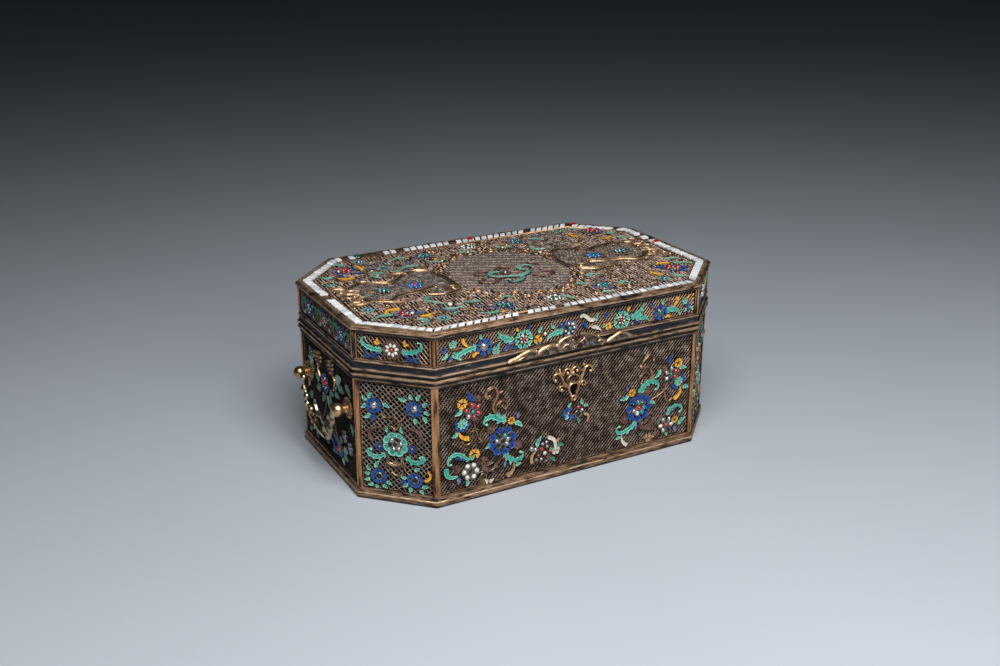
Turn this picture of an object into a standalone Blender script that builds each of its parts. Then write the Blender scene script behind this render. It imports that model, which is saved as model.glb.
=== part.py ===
"""Octagonal silver filigree casket: recessed filigree panels with raised flowers, a hinged lid
with a border of white stones, a keyhole escutcheon, a thumb-piece and two bail handles.

The front faces -Y, +X runs along the length and +Z is up. The origin is under the middle of
the base, on the surface the casket stands on. Everything is in metres.
"""

import math

import bmesh
import bpy
from mathutils import Matrix, Vector
from mathutils.geometry import delaunay_2d_cdt

MM = 0.001

# Plan of the casket: a rectangle with its four corners cut off at 45 degrees
LENGTH = 260 * MM
WIDTH = 165 * MM
CORNER_CUT = 36 * MM

# Heights of the body, bottom to top
BASE_MOULDING_HEIGHT = 6.2 * MM
BODY_PANEL_HEIGHT = 71.0 * MM
BODY_RIM_HEIGHT = 4.8 * MM
FLOOR_THICKNESS = 1.6 * MM

# Heights of the lid, bottom to top
LID_SEAM_GAP = 0.3 * MM
LID_RIM_HEIGHT = 7.9 * MM
LID_PANEL_HEIGHT = 16.8 * MM
LID_CORNICE_HEIGHT = 4.3 * MM
LID_TOP_THICKNESS = 1.6 * MM

# Section of the walls, seen from above: how far each face stands in from the plan's outline
MOULDING_PROJECTION = 1.5 * MM
RECESS_DEPTH = 2.1 * MM
BACKING_THICKNESS = 1.2 * MM
BEAD_DEPTH = 0.7 * MM
POST_WIDTH = 2.4 * MM
WIRE_EDGE = 0.9 * MM

# Filigree panels
FIT_GAP = 0.3 * MM
PANEL_THICKNESS = 0.6 * MM
LEAF_RELIEF = 1.1 * MM
PETAL_RELIEF = 1.5 * MM
STONE_RELIEF = 2.3 * MM

# Top of the lid: the border of stones and the filigree field inside it
BORDER_INSET = 4.5 * MM
BORDER_WIDTH = 5.0 * MM
BORDER_THICKNESS = 1.9 * MM
TOP_RECESS_DEPTH = 2.3 * MM
TOP_FIELD_THICKNESS = 1.0 * MM
STONE_PITCH = 6.3 * MM
STONE_JOINT_DEPTH = 0.6 * MM

# Flowers and leaves
BIG_FLOWER_RADIUS = 7.6 * MM
FLOWER_RADIUS = 5.4 * MM
BLOSSOM_RADIUS = 3.2 * MM
LEAF_LENGTH = 7.0 * MM
LEAF_WIDTH = 3.4 * MM
STEM_WIDTH = 1.4 * MM
SCROLL_WIDTH = 2.3 * MM
SCROLL_RADIUS = 4.4 * MM

# Escutcheon and thumb-piece
ESCUTCHEON_THICKNESS = 1.8 * MM
ESCUTCHEON_WIDTH = 30.0 * MM
ESCUTCHEON_CREST = 17.0 * MM
ESCUTCHEON_MARGIN = 2.2 * MM
KEYHOLE_RADIUS = 2.1 * MM
KEYHOLE_SLOT = 5.0 * MM
COLLAR_WIDTH = 1.7 * MM
THUMB_LENGTH = 88.0 * MM
THUMB_HEIGHT = 10.4 * MM
THUMB_THICKNESS = 0.9 * MM

# Bail handles and the knobs they hang from
KNOB_POST_DISTANCE = 10.5 * MM
KNOB_HEIGHT = 53.8 * MM
KNOB_REACH = 6.5 * MM
KNOB_BALL_RADIUS = 4.2 * MM
KNOB_NECK_RADIUS = 1.9 * MM
ROSETTE_RADIUS = 6.4 * MM
ROSETTE_THICKNESS = 1.1 * MM
KNOB_FACETS = 10
BAIL_DROP = 24.0 * MM
BAIL_RADIUS = 1.2 * MM
BAIL_BEAD_RADIUS = 1.9 * MM
BAIL_PIN_RADIUS = 1.0 * MM
BAIL_PIN_LENGTH = 1.8 * MM
BAIL_VOLUTE_RADIUS = 3.7 * MM
BAIL_VOLUTE_THICKNESS = 3.4 * MM
BAIL_FACETS = 6
VOLUTE_FACETS = 8

# Hinges at the back
HINGE_SPACING = 130.0 * MM
HINGE_WIDTH = 21.0 * MM
HINGE_LEAF_HEIGHT = 8.0 * MM
HINGE_LEAF_THICKNESS = 0.9 * MM
HINGE_STEP = 0.15 * MM
HINGE_KNUCKLE_RADIUS = 1.8 * MM
HINGE_PIN_RADIUS = 0.8 * MM
HINGE_FACETS = 8

# Worked out from the sizes above
ROOT2 = math.sqrt(2)
BODY_PANEL_TOP = BASE_MOULDING_HEIGHT + BODY_PANEL_HEIGHT
BODY_HEIGHT = BODY_PANEL_TOP + BODY_RIM_HEIGHT
LID_BOTTOM = BODY_HEIGHT + LID_SEAM_GAP
LID_PANEL_BOTTOM = LID_BOTTOM + LID_RIM_HEIGHT
LID_PANEL_TOP = LID_PANEL_BOTTOM + LID_PANEL_HEIGHT
LID_TOP = LID_PANEL_TOP + LID_CORNICE_HEIGHT
LID_FIELD_FLOOR = LID_TOP - TOP_RECESS_DEPTH
WALL_INNER_OFFSET = MOULDING_PROJECTION + RECESS_DEPTH + BACKING_THICKNESS
GROUND_DEPTH = RECESS_DEPTH - FIT_GAP - PANEL_THICKNESS
HINGE_AXIS_Y = WIDTH / 2 + FIT_GAP + HINGE_KNUCKLE_RADIUS + 0.2 * MM
HINGE_AXIS_Z = BODY_HEIGHT + LID_SEAM_GAP / 2
KEYHOLE_HEIGHT = BODY_PANEL_TOP - ESCUTCHEON_MARGIN - ESCUTCHEON_CREST

SIDES = (
    "front", "front_right", "right", "back_right",
    "back", "back_left", "left", "front_left",
)


def make_material(name, color, roughness, metallic):
    """A plain surface for one kind of piece."""
    material = bpy.data.materials.new(name)
    material.use_nodes = True
    shader = material.node_tree.nodes["Principled BSDF"]
    shader.inputs["Base Color"].default_value = (*color, 1.0)
    shader.inputs["Roughness"].default_value = roughness
    shader.inputs["Metallic"].default_value = metallic
    return material


def octagon(offset):
    """The plan's eight corners, moved in by offset, counter-clockwise from the front's left end."""
    x = LENGTH / 2 - offset
    y = WIDTH / 2 - offset
    cut = CORNER_CUT - offset * (2 - ROOT2)
    return [
        Vector((cut - x, -y)), Vector((x - cut, -y)),
        Vector((x, cut - y)), Vector((x, y - cut)),
        Vector((x - cut, y)), Vector((cut - x, y)),
        Vector((-x, y - cut)), Vector((-x, cut - y)),
    ]


def side_length(side, offset):
    corners = octagon(offset)
    index = SIDES.index(side)
    return (corners[(index + 1) % len(corners)] - corners[index]).length


def side_place(side, offset):
    """The matrix from a side's own axes (along, up, outward) to the casket's."""
    corners = octagon(offset)
    index = SIDES.index(side)
    start, end = corners[index], corners[(index + 1) % len(corners)]
    along = (end - start).normalized()
    middle = (start + end) / 2
    place = Matrix((
        (along.x, 0.0, along.y, middle.x),
        (along.y, 0.0, -along.x, middle.y),
        (0.0, 1.0, 0.0, 0.0),
        (0.0, 0.0, 0.0, 1.0),
    ))
    return place


def field_half_width(side):
    """Half the width of the recess between a side's two corner posts."""
    return side_length(side, MOULDING_PROJECTION) / 2 - POST_WIDTH


def add_object(name, bm, material, place=None, smooth=False):
    """Turns a bmesh into the named object, with its place in the object's own matrix."""
    bmesh.ops.recalc_face_normals(bm, faces=bm.faces)
    mesh = bpy.data.meshes.new(name)
    bm.to_mesh(mesh)
    bm.free()
    mesh.materials.append(material)
    if smooth:
        mesh.shade_smooth()
        mesh.set_sharp_from_angle(angle=math.radians(40))
    made = bpy.data.objects.new(name, mesh)
    bpy.context.scene.collection.objects.link(made)
    if place is not None:
        made.matrix_world = place
    return made


def apply_boolean(target, other, operation):
    """Joins or cuts target with other, then deletes other."""
    modifier = target.modifiers.new(operation.lower(), "BOOLEAN")
    modifier.operation = operation
    modifier.solver = "EXACT"
    modifier.object = other
    bpy.context.view_layer.update()
    evaluated = target.evaluated_get(bpy.context.evaluated_depsgraph_get())
    mesh = bpy.data.meshes.new_from_object(evaluated)
    target.modifiers.clear()
    old = target.data
    target.data = mesh
    bpy.data.meshes.remove(old)
    bpy.data.objects.remove(other)
    return target


# Shells


def framed_wall(bm, lower, upper, side, edge):
    """A flat wall between two pairs of corners, with a rectangular recess between its posts."""
    place = side_place(side, MOULDING_PROJECTION)
    half = field_half_width(side)
    low = lower[0].co.z + edge
    high = upper[0].co.z - edge
    outer = [lower[0], lower[1], upper[1], upper[0]]
    rectangle = [(-half, low), (half, low), (half, high), (-half, high)]
    front = [bm.verts.new(place @ Vector((u, v, 0.0))) for u, v in rectangle]
    back = [bm.verts.new(place @ Vector((u, v, -RECESS_DEPTH))) for u, v in rectangle]
    for i in range(4):
        j = (i + 1) % 4
        bm.faces.new((outer[i], outer[j], front[j], front[i]))
        bm.faces.new((front[i], front[j], back[j], back[i]))
    bm.faces.new(back)


def shell(name, profile, panel_band, material):
    """A body swept round the plan from a profile of (offset, height) points, outside to inside.
    The band that starts at point panel_band has a recessed field on each side."""
    bm = bmesh.new()
    rings = []
    for offset, height in profile:
        rings.append([bm.verts.new((p.x, p.y, height)) for p in octagon(offset)])
    for band, (ring, following) in enumerate(zip(rings, rings[1:])):
        for i, side in enumerate(SIDES):
            j = (i + 1) % len(SIDES)
            if band == panel_band:
                framed_wall(bm, (ring[i], ring[j]), (following[i], following[j]), side, WIRE_EDGE)
            else:
                bm.faces.new((ring[i], ring[j], following[j], following[i]))
    bm.faces.new(rings[0])
    bm.faces.new(rings[-1])
    return add_object(name, bm, material)


def bead_profile(low, high):
    """A half-round bead standing out to the plan's outline between two heights."""
    third = (high - low) / 3
    return [(BEAD_DEPTH, low), (0.0, low + third), (0.0, high - third), (BEAD_DEPTH, high)]


def body_profile():
    wall = MOULDING_PROJECTION
    reed = BASE_MOULDING_HEIGHT / 3
    groove = 0.3 * reed
    rim = BODY_RIM_HEIGHT
    return [
        (BEAD_DEPTH, 0.0),
        (0.0, 0.6 * reed),
        (0.0, reed),
        (BEAD_DEPTH / 2, reed + groove),
        (0.0, reed + 2 * groove),
        (0.0, 2 * reed),
        (wall, BASE_MOULDING_HEIGHT),
        (wall, BODY_PANEL_TOP),
        (wall - BEAD_DEPTH, BODY_PANEL_TOP + 0.1 * rim),
        (wall - BEAD_DEPTH, BODY_PANEL_TOP + 0.3 * rim),
        (wall, BODY_PANEL_TOP + 0.35 * rim),
        (wall, BODY_PANEL_TOP + 0.6 * rim),
        *bead_profile(BODY_PANEL_TOP + 0.65 * rim, BODY_HEIGHT),
        (WALL_INNER_OFFSET, BODY_HEIGHT),
        (WALL_INNER_OFFSET, FLOOR_THICKNESS),
    ]


def lid_profile():
    """The lid from its inner corner, round under the rim, up the outside and across the top."""
    wall = MOULDING_PROJECTION
    rim = LID_RIM_HEIGHT
    cornice = LID_CORNICE_HEIGHT
    return [
        (WALL_INNER_OFFSET, LID_FIELD_FLOOR - LID_TOP_THICKNESS),
        (WALL_INNER_OFFSET, LID_BOTTOM),
        (wall, LID_BOTTOM),
        (wall, LID_BOTTOM + 0.26 * rim),
        *bead_profile(LID_BOTTOM + 0.29 * rim, LID_BOTTOM + 0.61 * rim),
        (wall, LID_BOTTOM + 0.64 * rim),
        (wall, LID_PANEL_BOTTOM),
        (wall, LID_PANEL_TOP),
        (wall - BEAD_DEPTH, LID_PANEL_TOP + 0.3 * cornice),
        (0.0, LID_PANEL_TOP + 0.6 * cornice),
        (0.0, LID_PANEL_TOP + 0.8 * cornice),
        (BEAD_DEPTH, LID_TOP - 0.04 * cornice),
        (BORDER_INSET - FIT_GAP, LID_TOP),
        (BORDER_INSET - FIT_GAP, LID_FIELD_FLOOR),
    ]


# Relief figures: each is a list of (u, v, rise) points and a list of the lines that join them


def looped(count, first=0):
    """The lines of a closed outline of count points."""
    return [(first + i, first + (i + 1) % count) for i in range(count)]


def blossom(u, v, radius, petals, turn=0.0):
    """A flower: pointed petals that rise towards a domed stone in the middle."""
    points = []
    for i in range(2 * petals):
        reach = radius if i % 2 == 0 else 0.56 * radius
        angle = turn + math.pi * i / petals
        points.append((u + reach * math.cos(angle), v + reach * math.sin(angle), 0.0))
    for i in range(petals):
        angle = turn + math.tau * i / petals
        reach = 0.42 * radius
        points.append((u + reach * math.cos(angle), v + reach * math.sin(angle), PETAL_RELIEF))
    points.append((u, v, STONE_RELIEF))
    lines = looped(2 * petals) + looped(petals, 2 * petals)
    lines += [(2 * i, 2 * petals + i) for i in range(petals)]
    return [(points, lines)]


def leaf(u, v, length, width, angle):
    """A pointed leaf with a ridge, starting at (u, v)."""
    shape = ((0.0, 0.0, 0.0), (0.45, -0.5, 0.0), (1.0, 0.0, 0.0), (0.4, 0.5, 0.0),
             (0.42, 0.0, LEAF_RELIEF))
    c, s = math.cos(angle), math.sin(angle)
    points = []
    for along, across, rise in shape:
        x, y = along * length, across * width
        points.append((u + c * x - s * y, v + s * x + c * y, rise))
    return (points, looped(4) + [(0, 4), (4, 2)])


def leaves(u, v, ring, angles, scale=1.0):
    """Leaves that point away from a flower of radius ring, at the angles given in degrees."""
    made = []
    for degrees in angles:
        angle = math.radians(degrees)
        start = (u + ring * math.cos(angle), v + ring * math.sin(angle))
        made.append(leaf(*start, scale * LEAF_LENGTH, scale * LEAF_WIDTH, angle + 0.3))
    return made


def edges_of(path, start_width, end_width):
    """The two edges of a band that follows path and tapers from one width to the other."""
    left, right = [], []
    last = len(path) - 1
    for i, point in enumerate(path):
        before = path[max(i - 1, 0)]
        after = path[min(i + 1, last)]
        run = Vector((after[0] - before[0], after[1] - before[1])).normalized()
        half = (start_width + (end_width - start_width) * i / last) / 2
        left.append((point[0] - run.y * half, point[1] + run.x * half))
        right.append((point[0] + run.y * half, point[1] - run.x * half))
    return left, right


def band(path, start_width, end_width):
    """A scroll or stem along path: pointed at both ends, with a ridge down its middle."""
    left, right = edges_of(path, start_width, end_width)
    points = [(*path[0], 0.0)]
    lines = []
    before = (0, 0, 0)
    for i in range(1, len(path) - 1):
        first = len(points)
        points += [(*left[i], 0.0), (*path[i], LEAF_RELIEF), (*right[i], 0.0)]
        lines += [(before[k], first + k) for k in range(3)]
        before = (first, first + 1, first + 2)
    lines += [(k, len(points)) for k in before]
    points.append((*path[-1], 0.0))
    return (points, lines)


def spiral(u, v, radius, start, sweep, steps, end_radius):
    """Points round (u, v), from radius to end_radius over a sweep in degrees."""
    points = []
    for i in range(steps + 1):
        share = i / steps
        angle = math.radians(start + sweep * share)
        reach = radius + (end_radius - radius) * share
        points.append((u + reach * math.cos(angle), v + reach * math.sin(angle)))
    return points


def curve(start, control, end, steps):
    """Points along a quadratic curve."""
    points = []
    for i in range(steps + 1):
        t = i / steps
        a, b, c = (1 - t) ** 2, 2 * t * (1 - t), t * t
        points.append(tuple(a * p + b * q + c * r for p, q, r in zip(start, control, end)))
    return points


def scroll(u, v, radius, start, sweep, width):
    """A curled leaf or C-scroll that tapers towards its inner end."""
    path = spiral(u, v, radius, start, sweep, 4, 0.55 * radius)
    return band(path, 1.3 * width, 0.9 * width)


def stem(start, control, end):
    return band(curve(start, control, end, 2), STEM_WIDTH, STEM_WIDTH)


def mirrored(figures):
    """The same figures with left and right exchanged."""
    return [([(-u, v, rise) for u, v, rise in points], lines) for points, lines in figures]


def counter_clockwise(outline):
    area = 0.0
    for (x0, y0), (x1, y1) in zip(outline, outline[1:] + outline[:1]):
        area += x0 * y1 - x1 * y0
    return outline if area > 0 else outline[::-1]


def relief(name, outlines, figures, thickness, material, place):
    """One closed plate over the outlines, flat behind. Its front is at thickness and rises
    over each figure. What lies between several outlines stays open."""
    points, heights, lines, loops = [], [], [], []
    for outline in outlines:
        loops.append(list(range(len(points), len(points) + len(outline))))
        points += [Vector(p) / MM for p in counter_clockwise(outline)]
        heights += [thickness] * len(outline)
    for figure, joined in figures:
        lines += [(len(points) + i, len(points) + j) for i, j in joined]
        points += [Vector((u, v)) / MM for u, v, _ in figure]
        heights += [thickness + rise for _, _, rise in figure]
    flat, _, faces, sources, _, origins = delaunay_2d_cdt(points, lines, loops, 1, 1e-4, True)

    bm = bmesh.new()
    fronts, backs = [], []
    for spot, source in zip(flat, sources):
        x, y = spot * MM
        height = max((heights[i] for i in source), default=thickness)
        fronts.append(bm.verts.new((x, y, height)))
        backs.append(bm.verts.new((x, y, 0.0)))
    kept = [face for face, origin in zip(faces, origins) if origin]
    directed = set()
    for face in kept:
        bm.faces.new([fronts[i] for i in face])
        directed.update(zip(face, face[1:] + face[:1]))
    rim = {start: end for start, end in directed if (end, start) not in directed}
    for start, end in rim.items():
        bm.faces.new((fronts[end], fronts[start], backs[start], backs[end]))
    if len(outlines) == 1:
        loop = [next(iter(rim))]
        while rim[loop[-1]] != loop[0]:
            loop.append(rim[loop[-1]])
        bm.faces.new([backs[i] for i in reversed(loop)])
    else:
        for face in kept:
            bm.faces.new([backs[i] for i in reversed(face)])
    loose = [v for v in bm.verts if not v.link_faces]
    bmesh.ops.delete(bm, geom=loose, context="VERTS")
    return add_object(name, bm, material, place)


# Flower work


def spray(at, branch_turn):
    """The big spray at one end of the front: a large flower, a branch above it and one below."""
    big = at(-0.546, 0.40)
    made = blossom(*big, BIG_FLOWER_RADIUS, 8, 0.2)
    c, s = math.cos(branch_turn), math.sin(branch_turn)

    tall = at(0, 1)[1] - at(0, 0)[1]

    def branch(along, up):
        """A place on the upper branch, in shares of the panel's height from the large flower."""
        return (big[0] + (c * along - s * up) * tall, big[1] + (s * along + c * up) * tall)

    red = branch(-0.289, 0.335)
    small = branch(-0.402, 0.243)
    made += blossom(*red, FLOWER_RADIUS, 5, 0.9)
    made += blossom(*small, 1.1 * BLOSSOM_RADIUS, 4, 0.5)
    made += blossom(*branch(-0.391, 0.434), 0.8 * BLOSSOM_RADIUS, 3)
    made += leaves(*red, 1.1 * FLOWER_RADIUS, (90,))
    made += leaves(*small, 1.2 * BLOSSOM_RADIUS, (130, 250), 0.8)
    made.append(stem(branch(-0.257, 0.240), branch(-0.204, 0.131), branch(-0.109, 0.087)))
    made.append(scroll(*at(-0.61, 0.885), 0.8 * SCROLL_RADIUS, 220, -270, SCROLL_WIDTH))
    made.append(band(curve(at(-0.57, 0.847), at(-0.62, 0.76), at(-0.59, 0.67), 3),
                     SCROLL_WIDTH, SCROLL_WIDTH))
    made.append(scroll(*at(-0.615, 0.60), SCROLL_RADIUS, 210, -200, SCROLL_WIDTH))
    made += leaves(*big, 1.1 * BIG_FLOWER_RADIUS, (40, 185))
    white = at(-0.785, 0.20)
    made += blossom(*white, FLOWER_RADIUS, 6, 0.4)
    made.append(scroll(*at(-0.867, 0.273), 1.2 * SCROLL_RADIUS, 60, 170, SCROLL_WIDTH))
    made += leaves(*white, 1.1 * FLOWER_RADIUS, (190, 260, 60))
    made += leaves(*at(-0.66, 0.22), 0.0, (10,), 1.2)
    made.append(scroll(*at(-0.44, 0.21), 1.1 * SCROLL_RADIUS, 200, 170, SCROLL_WIDTH))
    return made


def front_layout(at):
    made = spray(at, 0.0)
    made += mirrored(spray(at, math.radians(11)))
    loose = at(-0.218, 0.185)
    made += blossom(*loose, 0.8 * FLOWER_RADIUS, 5)
    made += leaves(*loose, 0.9 * FLOWER_RADIUS, (110, 30, 210))
    bud = at(0.046, 0.47)
    made += blossom(*bud, 1.2 * BLOSSOM_RADIUS, 5)
    made += leaves(*bud, 1.3 * BLOSSOM_RADIUS, (55, 150), 0.7)
    return made


def corner_layout(at, plain):
    """A canted panel: four blue flowers round a large one."""
    made = blossom(*at(0.0, 0.46), BIG_FLOWER_RADIUS, 5 if plain else 8)
    for across in (-1, 1):
        for up in (0.80, 0.14):
            place = at(across * 0.54, up)
            made += blossom(*place, FLOWER_RADIUS, 5, 0.3)
            outward = 90 - across * 45 if up > 0.5 else 250
            made += leaves(*place, 1.1 * FLOWER_RADIUS, (outward,), 0.7)
        if plain:
            continue
        made.append(scroll(*at(across * 0.60, 0.335), 0.8 * SCROLL_RADIUS, 90 - across * 120,
                           across * 190, SCROLL_WIDTH))
        made.append(scroll(*at(across * 0.68, 0.56), 0.8 * SCROLL_RADIUS, 90 + across * 60,
                           -across * 170, SCROLL_WIDTH))
    if not plain:
        made.append(stem(at(0.0, 0.59), at(0.04, 0.68), at(0.28, 0.73)))
        made.append(stem(at(-0.28, 0.74), at(-0.20, 0.70), at(-0.04, 0.66)))
        basket = spiral(*at(0.0, 0.30), 0.9 * SCROLL_RADIUS, 190, 160, 3, 0.9 * SCROLL_RADIUS)
        made.append(band(basket, STEM_WIDTH, STEM_WIDTH))
    return made


def end_layout(at):
    """An end panel, between the knobs of its handle."""
    middle = at(0.0, 0.60)
    made = blossom(*middle, FLOWER_RADIUS, 8)
    made += leaves(*middle, 1.1 * FLOWER_RADIUS, (45, 135, 225, 315))
    for across in (-1, 1):
        made += blossom(*at(across * 0.45, 0.90), BLOSSOM_RADIUS, 5)
        made += blossom(*at(across * 0.62, 0.20), 0.85 * FLOWER_RADIUS, 5)
        made.append(scroll(*at(across * 0.26, 0.24), SCROLL_RADIUS, 90, -across * 200,
                           SCROLL_WIDTH))
    return made


def back_layout(at):
    """The back: a plain version of the front's sprays."""
    made = blossom(*at(0.0, 0.45), BIG_FLOWER_RADIUS, 6)
    made += leaves(*at(0.0, 0.45), 1.1 * BIG_FLOWER_RADIUS, (0, 165))
    for across in (-1, 1):
        for u, v in ((0.42, 0.62), (0.74, 0.36)):
            place = at(across * u, v)
            made += blossom(*place, FLOWER_RADIUS, 5)
            made += leaves(*place, 1.1 * FLOWER_RADIUS, (90 - across * 60, 255))
    return made


def lid_long_layout(at, plain):
    """The lid's front or back: a row of flowers with leaves and scrolls between them."""
    made = []
    for along, up, petals in ((-0.68, 0.44, 5), (-0.39, 0.42, 8), (-0.04, 0.52, 6),
                              (0.38, 0.40, 8), (0.69, 0.42, 5)):
        place = at(along, up)
        made += blossom(*place, 0.95 * FLOWER_RADIUS, 5 if plain else petals)
        if not plain:
            made += leaves(*place, 1.1 * FLOWER_RADIUS, (165,), 0.85)
    if plain:
        return made
    for along, up, start, sweep in (
        (-0.88, 0.46, 300, -190), (-0.535, 0.62, 240, 190), (-0.24, 0.50, 60, -190),
        (0.17, 0.60, 200, -190), (0.535, 0.55, 250, 190), (0.88, 0.45, 60, 190),
    ):
        made.append(scroll(*at(along, up), 0.75 * SCROLL_RADIUS, start, sweep,
                           0.9 * SCROLL_WIDTH))
    return made


def lid_end_layout(at):
    made = []
    for along in (-0.62, 0.0, 0.62):
        made += blossom(*at(along, 0.5), 0.9 * FLOWER_RADIUS, 5)
    return made


def lid_corner_layout(at, plain):
    made = blossom(*at(0.0, 0.48), FLOWER_RADIUS, 6)
    for across in (-1, 1):
        made.append(scroll(*at(across * 0.62, 0.62), 0.8 * SCROLL_RADIUS, 90 + across * 10,
                           -across * 190, SCROLL_WIDTH))
    if not plain:
        made += leaves(*at(0.0, 0.48), 1.1 * FLOWER_RADIUS, (200, 320), 0.8)
    return made


def side_layout(side, at):
    if side == "front":
        return front_layout(at)
    if side == "back":
        return back_layout(at)
    if side in ("left", "right"):
        return end_layout(at)
    return corner_layout(at, side.startswith("back"))


def lid_side_layout(side, at):
    if side in ("front", "back"):
        return lid_long_layout(at, side == "back")
    if side in ("left", "right"):
        return lid_end_layout(at)
    return lid_corner_layout(at, side.startswith("back"))


def filigree_panel(name, side, low, high, layout, material):
    """A filigree plate in a side's recess, with its flower work raised on it."""
    half = field_half_width(side) - FIT_GAP
    low += WIRE_EDGE + FIT_GAP
    high -= WIRE_EDGE + FIT_GAP

    def at(across, up):
        """A place on the panel: -1 to 1 across it and 0 to 1 up it."""
        return (across * half, low + up * (high - low))

    plate = [(-half, low), (half, low), (half, high), (-half, high)]
    back = Matrix.Translation((0.0, 0.0, FIT_GAP - RECESS_DEPTH))
    place = side_place(side, MOULDING_PROJECTION) @ back
    return relief(name, [plate], layout(side, at), PANEL_THICKNESS, material, place)


# Top of the lid


def lid_top_field(material):
    """The filigree field inside the stone border, with its scrolls and flowers."""
    outline = [tuple(p) for p in octagon(BORDER_INSET + BORDER_WIDTH + FIT_GAP)]
    half_x = max(p[0] for p in outline)
    half_y = max(p[1] for p in outline)

    def at(across, back):
        return (across * half_x, back * half_y)

    middle = at(0.06, -0.05)
    made = blossom(*middle, BLOSSOM_RADIUS, 5)
    made += leaves(*middle, 1.1 * BLOSSOM_RADIUS, (20, 100, 160, 240, 310), 1.3)
    for across in (-1, 1):
        hub = at(across * 0.53, -0.03)
        round_end = spiral(*hub, 5 * SCROLL_RADIUS, 90 + across * 15, -across * 215, 8,
                           4.8 * SCROLL_RADIUS)
        made.append(band(round_end, SCROLL_WIDTH, SCROLL_WIDTH))
        for up in (-1, 1):
            tail = curve(at(across * 0.62, up * 0.40), at(across * 0.73, up * 0.16),
                         at(across * 0.88, up * 0.28), 4)
            made.append(band(tail, SCROLL_WIDTH, 1.4 * SCROLL_WIDTH))
            corner = at(across * 0.80, up * 0.66)
            made += blossom(*corner, 1.1 * FLOWER_RADIUS, 6)
            made += leaves(*corner, 1.2 * FLOWER_RADIUS, (90 + up * 90,))
            side_flower = at(across * 0.30, up * 0.76)
            made += blossom(*side_flower, 0.9 * FLOWER_RADIUS, 6)
            made += leaves(*side_flower, 1.1 * FLOWER_RADIUS, (15 if across > 0 else 165,))
        made += blossom(*at(across * 0.555, 0.0), FLOWER_RADIUS, 6)
        made += blossom(*at(across * 0.74, -0.03), 0.8 * FLOWER_RADIUS, 5)
    for up in (-1, 1):
        made += blossom(*at(0.0, up * 0.80), 0.9 * FLOWER_RADIUS, 6)
        arch = curve(at(-0.26, up * 0.50), at(0.0, up * 0.86), at(0.26, up * 0.50), 5)
        made.append(band(arch, STEM_WIDTH, STEM_WIDTH))
    place = Matrix.Translation((0.0, 0.0, LID_FIELD_FLOOR + FIT_GAP))
    return relief("lid_top_field", [outline], made, TOP_FIELD_THICKNESS, material, place)


def stone_border(material):
    """The ring of white stones: each is highest in its middle and lowest at its joints."""
    outer = octagon(BORDER_INSET)
    inner = octagon(BORDER_INSET + BORDER_WIDTH)
    low = LID_FIELD_FLOOR + FIT_GAP
    joint = low + BORDER_THICKNESS - STONE_JOINT_DEPTH
    bm = bmesh.new()

    def corner(point, height):
        return bm.verts.new((point.x, point.y, height))

    feet = [[corner(p, low) for p in ring] for ring in (outer, inner)]
    tops = []
    for i in range(len(outer)):
        j = (i + 1) % len(outer)
        count = round((outer[j] - outer[i]).length / STONE_PITCH)
        row = []
        for k in range(2 * count):
            share = k / (2 * count)
            height = joint if k % 2 == 0 else low + BORDER_THICKNESS
            row.append([corner(ring[i].lerp(ring[j], share), height) for ring in (outer, inner)])
        tops.append(row)
    for i, row in enumerate(tops):
        j = (i + 1) % len(tops)
        line = row + tops[j][:1]
        for pair, following in zip(line, line[1:]):
            bm.faces.new((pair[0], following[0], following[1], pair[1]))
        for edge in (0, 1):
            bm.faces.new([feet[edge][i], feet[edge][j]] + [pair[edge] for pair in reversed(line)])
        bm.faces.new((feet[0][i], feet[0][j], feet[1][j], feet[1][i]))
    return add_object("stone_border", bm, material)


# Mounts on the front


def ribbon(path, start_width, end_width):
    """The flat outline of a band along path."""
    left, right = edges_of(path, start_width, end_width)
    return left + right[::-1]


def escutcheon(material):
    """The keyhole's cast plate: a collar round the keyhole, two rising arms and a crest."""
    key = KEYHOLE_HEIGHT
    ring = KEYHOLE_RADIUS + COLLAR_WIDTH / 2
    drop = KEYHOLE_SLOT
    collar = spiral(0.0, key, ring, 95, -115, 3, ring)
    collar += [(0.7 * ring, key - 0.75 * drop), (0.45 * ring, key - drop - 0.6 * ring),
               (-0.08 * ring, key - drop - 0.8 * ring)]
    half = ESCUTCHEON_WIDTH / 2

    def at(across, up):
        return (across * half, key + up * ESCUTCHEON_CREST)

    arm = curve(at(0.20, 0.07), at(0.41, 0.29), at(0.55, 0.66), 2)
    tip = spiral(*at(0.80, 0.66), 0.20 * half, 195, -215, 4, 0.11 * half)
    lobe = curve(at(0.53, 0.62), at(0.29, 1.09), at(-0.02, 0.68), 3)
    foot = spiral(*at(0.41, 0.02), 0.13 * half, 190, -200, 3, 0.10 * half)
    outlines = [
        ribbon(collar, COLLAR_WIDTH, COLLAR_WIDTH), ribbon(arm, COLLAR_WIDTH, COLLAR_WIDTH),
        ribbon(tip, 1.1 * COLLAR_WIDTH, 1.3 * COLLAR_WIDTH),
        ribbon(lobe, COLLAR_WIDTH, 1.5 * COLLAR_WIDTH),
        ribbon(foot, 0.95 * COLLAR_WIDTH, 1.1 * COLLAR_WIDTH),
    ]
    outlines += [[(-u, v) for u, v in outline] for outline in outlines]
    out = Matrix.Translation((0.0, 0.0, FIT_GAP - GROUND_DEPTH))
    place = side_place("front", MOULDING_PROJECTION) @ out
    return relief("escutcheon", outlines, [], ESCUTCHEON_THICKNESS, material, place)


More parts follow.
